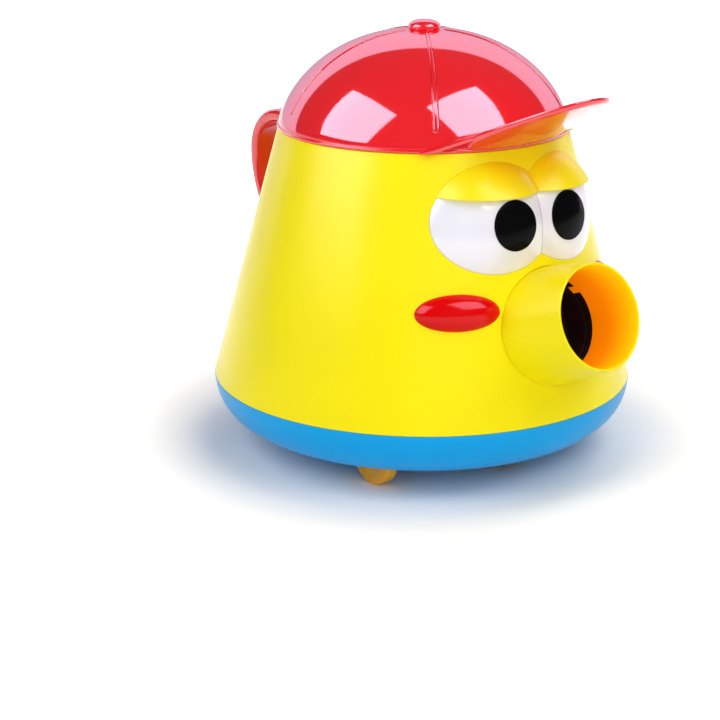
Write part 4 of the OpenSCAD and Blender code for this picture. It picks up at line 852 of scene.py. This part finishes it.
class LAUNCHER_OT_carried(bpy.types.Operator):
    """Gives the CAD nodes that stay in view their finish"""

    bl_idname = "launcher.carried"
    bl_label = "Carried nodes"

    def execute(self, context):
        """Gives each node its finish, and each shown one smooth shading between its real edges."""
        weld, crease = 0.002 * MM, math.radians(28)
        group = bpy.data.node_groups.new("Smooth moulding", "GeometryNodeTree")
        for way in ("INPUT", "OUTPUT"):
            group.interface.new_socket("Geometry", in_out=way, socket_type="NodeSocketGeometry")
        start = add_node(group, "NodeGroupInput")
        whole = add_node(group, "GeometryNodeMergeByDistance", {"Distance": weld}, {"Geometry": start.outputs[0]})
        fold = add_node(group, "GeometryNodeInputMeshEdgeAngle")
        soft = add_node(group, "FunctionNodeCompare", {"operation": "LESS_THAN", 1: crease},
                        {0: fold.outputs["Unsigned Angle"]})
        faces = add_node(group, "GeometryNodeSetShadeSmooth", {"domain": "FACE"},
                         {"Geometry": whole.outputs["Geometry"]})
        edges = add_node(group, "GeometryNodeSetShadeSmooth", {"domain": "EDGE"},
                         {"Geometry": faces.outputs["Geometry"], "Shade Smooth": soft.outputs["Result"]})
        add_node(group, "NodeGroupOutput", None, {0: edges.outputs["Geometry"]})
        slots = {row["node"]: row["material_slot"] for row in frame["record"]["subparts"]}
        for name, obj in frame["nodes"].items():
            obj.data.materials.clear()
            obj.data.materials.append(FINISHES[slots[name]])
            if not obj.hide_render:
                obj.modifiers.new("Smooth moulding", "NODES").node_group = group
        return {"FINISHED"}


class LAUNCHER_OT_stage(bpy.types.Operator):
    """Makes the floor, the lamps and the camera"""

    bl_idname = "launcher.stage"
    bl_label = "Studio"

    def execute(self, context):
        """Sets up a white studio with two softboxes, two fills and the photograph's view."""
        make_camera(context.scene)
        make_studio(context.scene)
        return {"FINISHED"}


def towards(turn, rise):
    """The direction from the object at an azimuth, 0 at the front, and a height above the horizon."""
    return Vector((math.sin(turn) * math.cos(rise), -math.cos(turn) * math.cos(rise), math.sin(rise)))


def make_camera(scene):
    """A long lens at the photograph's height and turn, aimed to the left of the body."""
    # In pixels of the photograph
    side, focal, right_of_middle, above_middle = 720, 1842.0, 62.1, 112.4
    roll, distance = math.radians(0.54), 0.970
    target = Vector((0, 0, 0.10276))
    data = bpy.data.cameras.new("photo_camera")
    data.sensor_width = 36.0
    data.lens = focal / side * data.sensor_width
    camera = bpy.data.objects.new("photo_camera", data)
    scene.collection.objects.link(camera)
    back = towards(VIEW_TURN, VIEW_RISE)
    right = Vector((math.cos(VIEW_TURN), math.sin(VIEW_TURN), 0))
    across = right * math.cos(roll) + back.cross(right) * math.sin(roll)
    basis = Matrix((across, back.cross(across), back)).transposed()
    aim = Vector((0, 0, -1)).rotation_difference(Vector((right_of_middle, above_middle, -focal)))
    turn = basis.to_quaternion() @ aim.inverted()
    camera.matrix_world = Matrix.Translation(target + back * distance) @ turn.to_matrix().to_4x4()
    scene.camera = camera


def stage_part(name, bm, material, seen=False):
    """Makes a stage object of a bmesh; one that isn't to be seen shows in reflections only."""
    obj = in_scene(name, bm)
    obj.data.materials.append(material)
    obj.visible_camera = obj.visible_diffuse = obj.visible_transmission = seen
    obj.visible_volume_scatter = obj.visible_shadow = seen


def panel(name, centre, aim, width, height, material, seen=False):
    """Makes a flat stage panel that faces a point."""
    bm = bmesh.new()
    turn = (Vector(aim) - Vector(centre)).to_track_quat("Z", "Y").to_matrix().to_4x4()
    bmesh.ops.create_grid(bm, x_segments=1, y_segments=1, size=0.5,
                          matrix=Matrix.Translation(centre) @ turn @ Matrix.Diagonal((width, height, 1, 1)))
    stage_part(name, bm, material, seen)


def room_part(name, near, material):
    """Makes the part of a large ball that is round the camera, or the part behind the object."""
    radius = 4.0
    back = towards(VIEW_TURN, VIEW_RISE)
    bm = bmesh.new()
    bmesh.ops.create_uvsphere(bm, u_segments=96, v_segments=48, radius=radius,
                              matrix=Matrix.Translation(STAGE_MIDDLE))
    bmesh.ops.bisect_plane(bm, geom=bm.verts[:] + bm.edges[:] + bm.faces[:],
                           plane_co=STAGE_MIDDLE - back * radius * BACKDROP_FROM, plane_no=back,
                           clear_inner=near, clear_outer=not near)
    stage_part(name, bm, material)


def glowing(name, tint, strength):
    """A plain glowing surface for the stage, and its emission node."""
    material, tree = new_material(name)
    tree.nodes.remove(tree.nodes["Principled BSDF"])
    glow = add_node(tree, "ShaderNodeEmission", {"Color": tint, "Strength": strength})
    set_node(tree, tree.nodes["Material Output"], links={"Surface": glow.outputs[0]})
    return material, glow


def make_studio(scene):
    """Floor, surroundings, soft lamps, and the cloths, room and backdrop that glossy pieces reflect."""
    distance, cloth_back, floor_side = 1.15, 0.02, 30
    scene.view_settings.view_transform = "Standard"
    cloth, _ = glowing("Softbox cloth", (0.87, 0.76, 1.0, 1.0), 10.3)
    room, _ = glowing("Dim room", (1, 1, 1, 1), 0.12)
    for name, (turn, rise, width, height, power) in SOFT_LIGHTS.items():
        away = towards(math.radians(turn), math.radians(rise)) * distance
        centre = STAGE_MIDDLE + away
        data = bpy.data.lights.new(name, "AREA")
        data.shape = "RECTANGLE"
        data.size, data.size_y = width, height
        data.energy = power
        lamp = bpy.data.objects.new(name, data)
        scene.collection.objects.link(lamp)
        lamp.matrix_world = Matrix.Translation(centre) @ away.to_track_quat("Z", "Y").to_matrix().to_4x4()
        lamp.visible_glossy = False
        if name.endswith("softbox"):
            panel(f"{name}_cloth", centre + away * cloth_back, STAGE_MIDDLE, width, height, cloth)
    room_part("studio_room", True, room)
    room_part("studio_backdrop", False, backdrop_finish())
    panel("studio_floor", (0, 0, 0), (0, 0, 1), floor_side, floor_side, floor_finish(), True)
    make_world(scene)


def backdrop_finish():
    """A backdrop that is dimmer straight behind the object, so that glossy rims keep their colour."""
    bright, dim = 2.7, 0.45
    material, glow = glowing("Lit backdrop", (0.87, 0.74, 1.0, 1.0), 1.0)
    tree = material.node_tree
    place = add_node(tree, "ShaderNodeTexCoord").outputs["Object"]
    out = add_node(tree, "ShaderNodeVectorMath", {"operation": "SUBTRACT", 1: STAGE_MIDDLE}, {0: place})
    ahead = add_node(tree, "ShaderNodeVectorMath", {"operation": "NORMALIZE"}, {0: out.outputs["Vector"]})
    along = add_node(tree, "ShaderNodeVectorMath",
                     {"operation": "DOT_PRODUCT", 1: -towards(VIEW_TURN, VIEW_RISE)},
                     {0: ahead.outputs["Vector"]})
    level = add_node(tree, "ShaderNodeMapRange", span(BACKDROP_FROM, 1.0, bright, dim),
                     {"Value": along.outputs["Value"]})
    set_node(tree, glow, links={"Strength": level.outputs["Result"]})
    return material


def direct_rays(tree):
    """A socket that is 1 for what the camera, a reflection or a clear piece shows, and 0 for the lighting."""
    rays = add_node(tree, "ShaderNodeLightPath").outputs
    seen = rays["Is Camera Ray"]
    for other in ("Is Glossy Ray", "Is Transmission Ray"):
        seen = add_node(tree, "ShaderNodeMath", {"operation": "MAXIMUM"}, {0: seen, 1: rays[other]}).outputs[0]
    return seen


def floor_finish():
    """Matt white paper that keeps the shadow near the object and fades to pure white further out."""
    fade_from, fade_to, white = 0.113, 0.26, 1.1
    material, tree = new_material("Matt white paper")
    place = add_node(tree, "ShaderNodeTexCoord").outputs["Object"]
    away = add_node(tree, "ShaderNodeVectorMath", {"operation": "LENGTH"}, {0: place})
    fade = add_node(tree, "ShaderNodeMapRange", span(fade_from, fade_to, 0, white),
                    {"Value": away.outputs["Value"]})
    glow = add_node(tree, "ShaderNodeMath", {"operation": "MULTIPLY"},
                    {0: fade.outputs["Result"], 1: direct_rays(tree)})
    set_node(tree, tree.nodes["Principled BSDF"],
             {"Base Color": srgb("#F7F6F4"), "Roughness": 0.9, "Specular IOR Level": 0.1,
              "Emission Color": (1, 1, 1, 1)}, {"Emission Strength": glow.outputs[0]})
    return material


def make_world(scene):
    """White surroundings for the eye and for reflections, and a gentler fill for the shading."""
    fill = 0.1
    world = bpy.data.worlds.new("White studio")
    world.use_nodes = True
    scene.world = world
    tree = world.node_tree
    level = add_node(tree, "ShaderNodeMapRange", span(0, 1, fill, 1), {"Value": direct_rays(tree)})
    set_node(tree, tree.nodes["Background"], {"Color": (1, 1, 1, 1)}, {"Strength": level.outputs["Result"]})


STEPS = (LAUNCHER_OT_finishes, LAUNCHER_OT_body, LAUNCHER_OT_spout, LAUNCHER_OT_eyes, LAUNCHER_OT_brow,
         LAUNCHER_OT_cheeks, LAUNCHER_OT_cap, LAUNCHER_OT_wheels, LAUNCHER_OT_screws, LAUNCHER_OT_spring,
         LAUNCHER_OT_carried, LAUNCHER_OT_stage)


class LAUNCHER_PT_panel(bpy.types.Panel):
    """Lists the launcher's steps and sizes"""

    bl_idname = "LAUNCHER_PT_panel"
    bl_label = "Toy ball launcher"
    bl_space_type = "VIEW_3D"
    bl_region_type = "UI"
    bl_category = "Launcher"

    def draw(self, context):
        """Shows a button for each step, then the sizes and colours."""
        for step in STEPS:
            self.layout.operator(step.bl_idname)
        for group in (context.scene.launcher_sizes, context.scene.launcher_colours):
            for name in group.bl_rna.properties.keys():
                if name not in ("rna_type", "name"):
                    self.layout.prop(group, name)


CLASSES = (LauncherSizes, LauncherColours, *STEPS, LAUNCHER_PT_panel)


def register():
    """Adds the classes and the scene's settings."""
    for kind in CLASSES:
        bpy.utils.register_class(kind)
    bpy.types.Scene.launcher_sizes = PointerProperty(type=LauncherSizes)
    bpy.types.Scene.launcher_colours = PointerProperty(type=LauncherColours)


def unregister():
    """Takes the classes and the scene's settings away."""
    del bpy.types.Scene.launcher_colours
    del bpy.types.Scene.launcher_sizes
    for kind in reversed(CLASSES):
        bpy.utils.unregister_class(kind)


def main():
    """Makes every piece and the studio."""
    register()
    for step in STEPS:
        area, action = step.bl_idname.split(".")
        getattr(getattr(bpy.ops, area), action)()


if __name__ == "__main__":
    main()
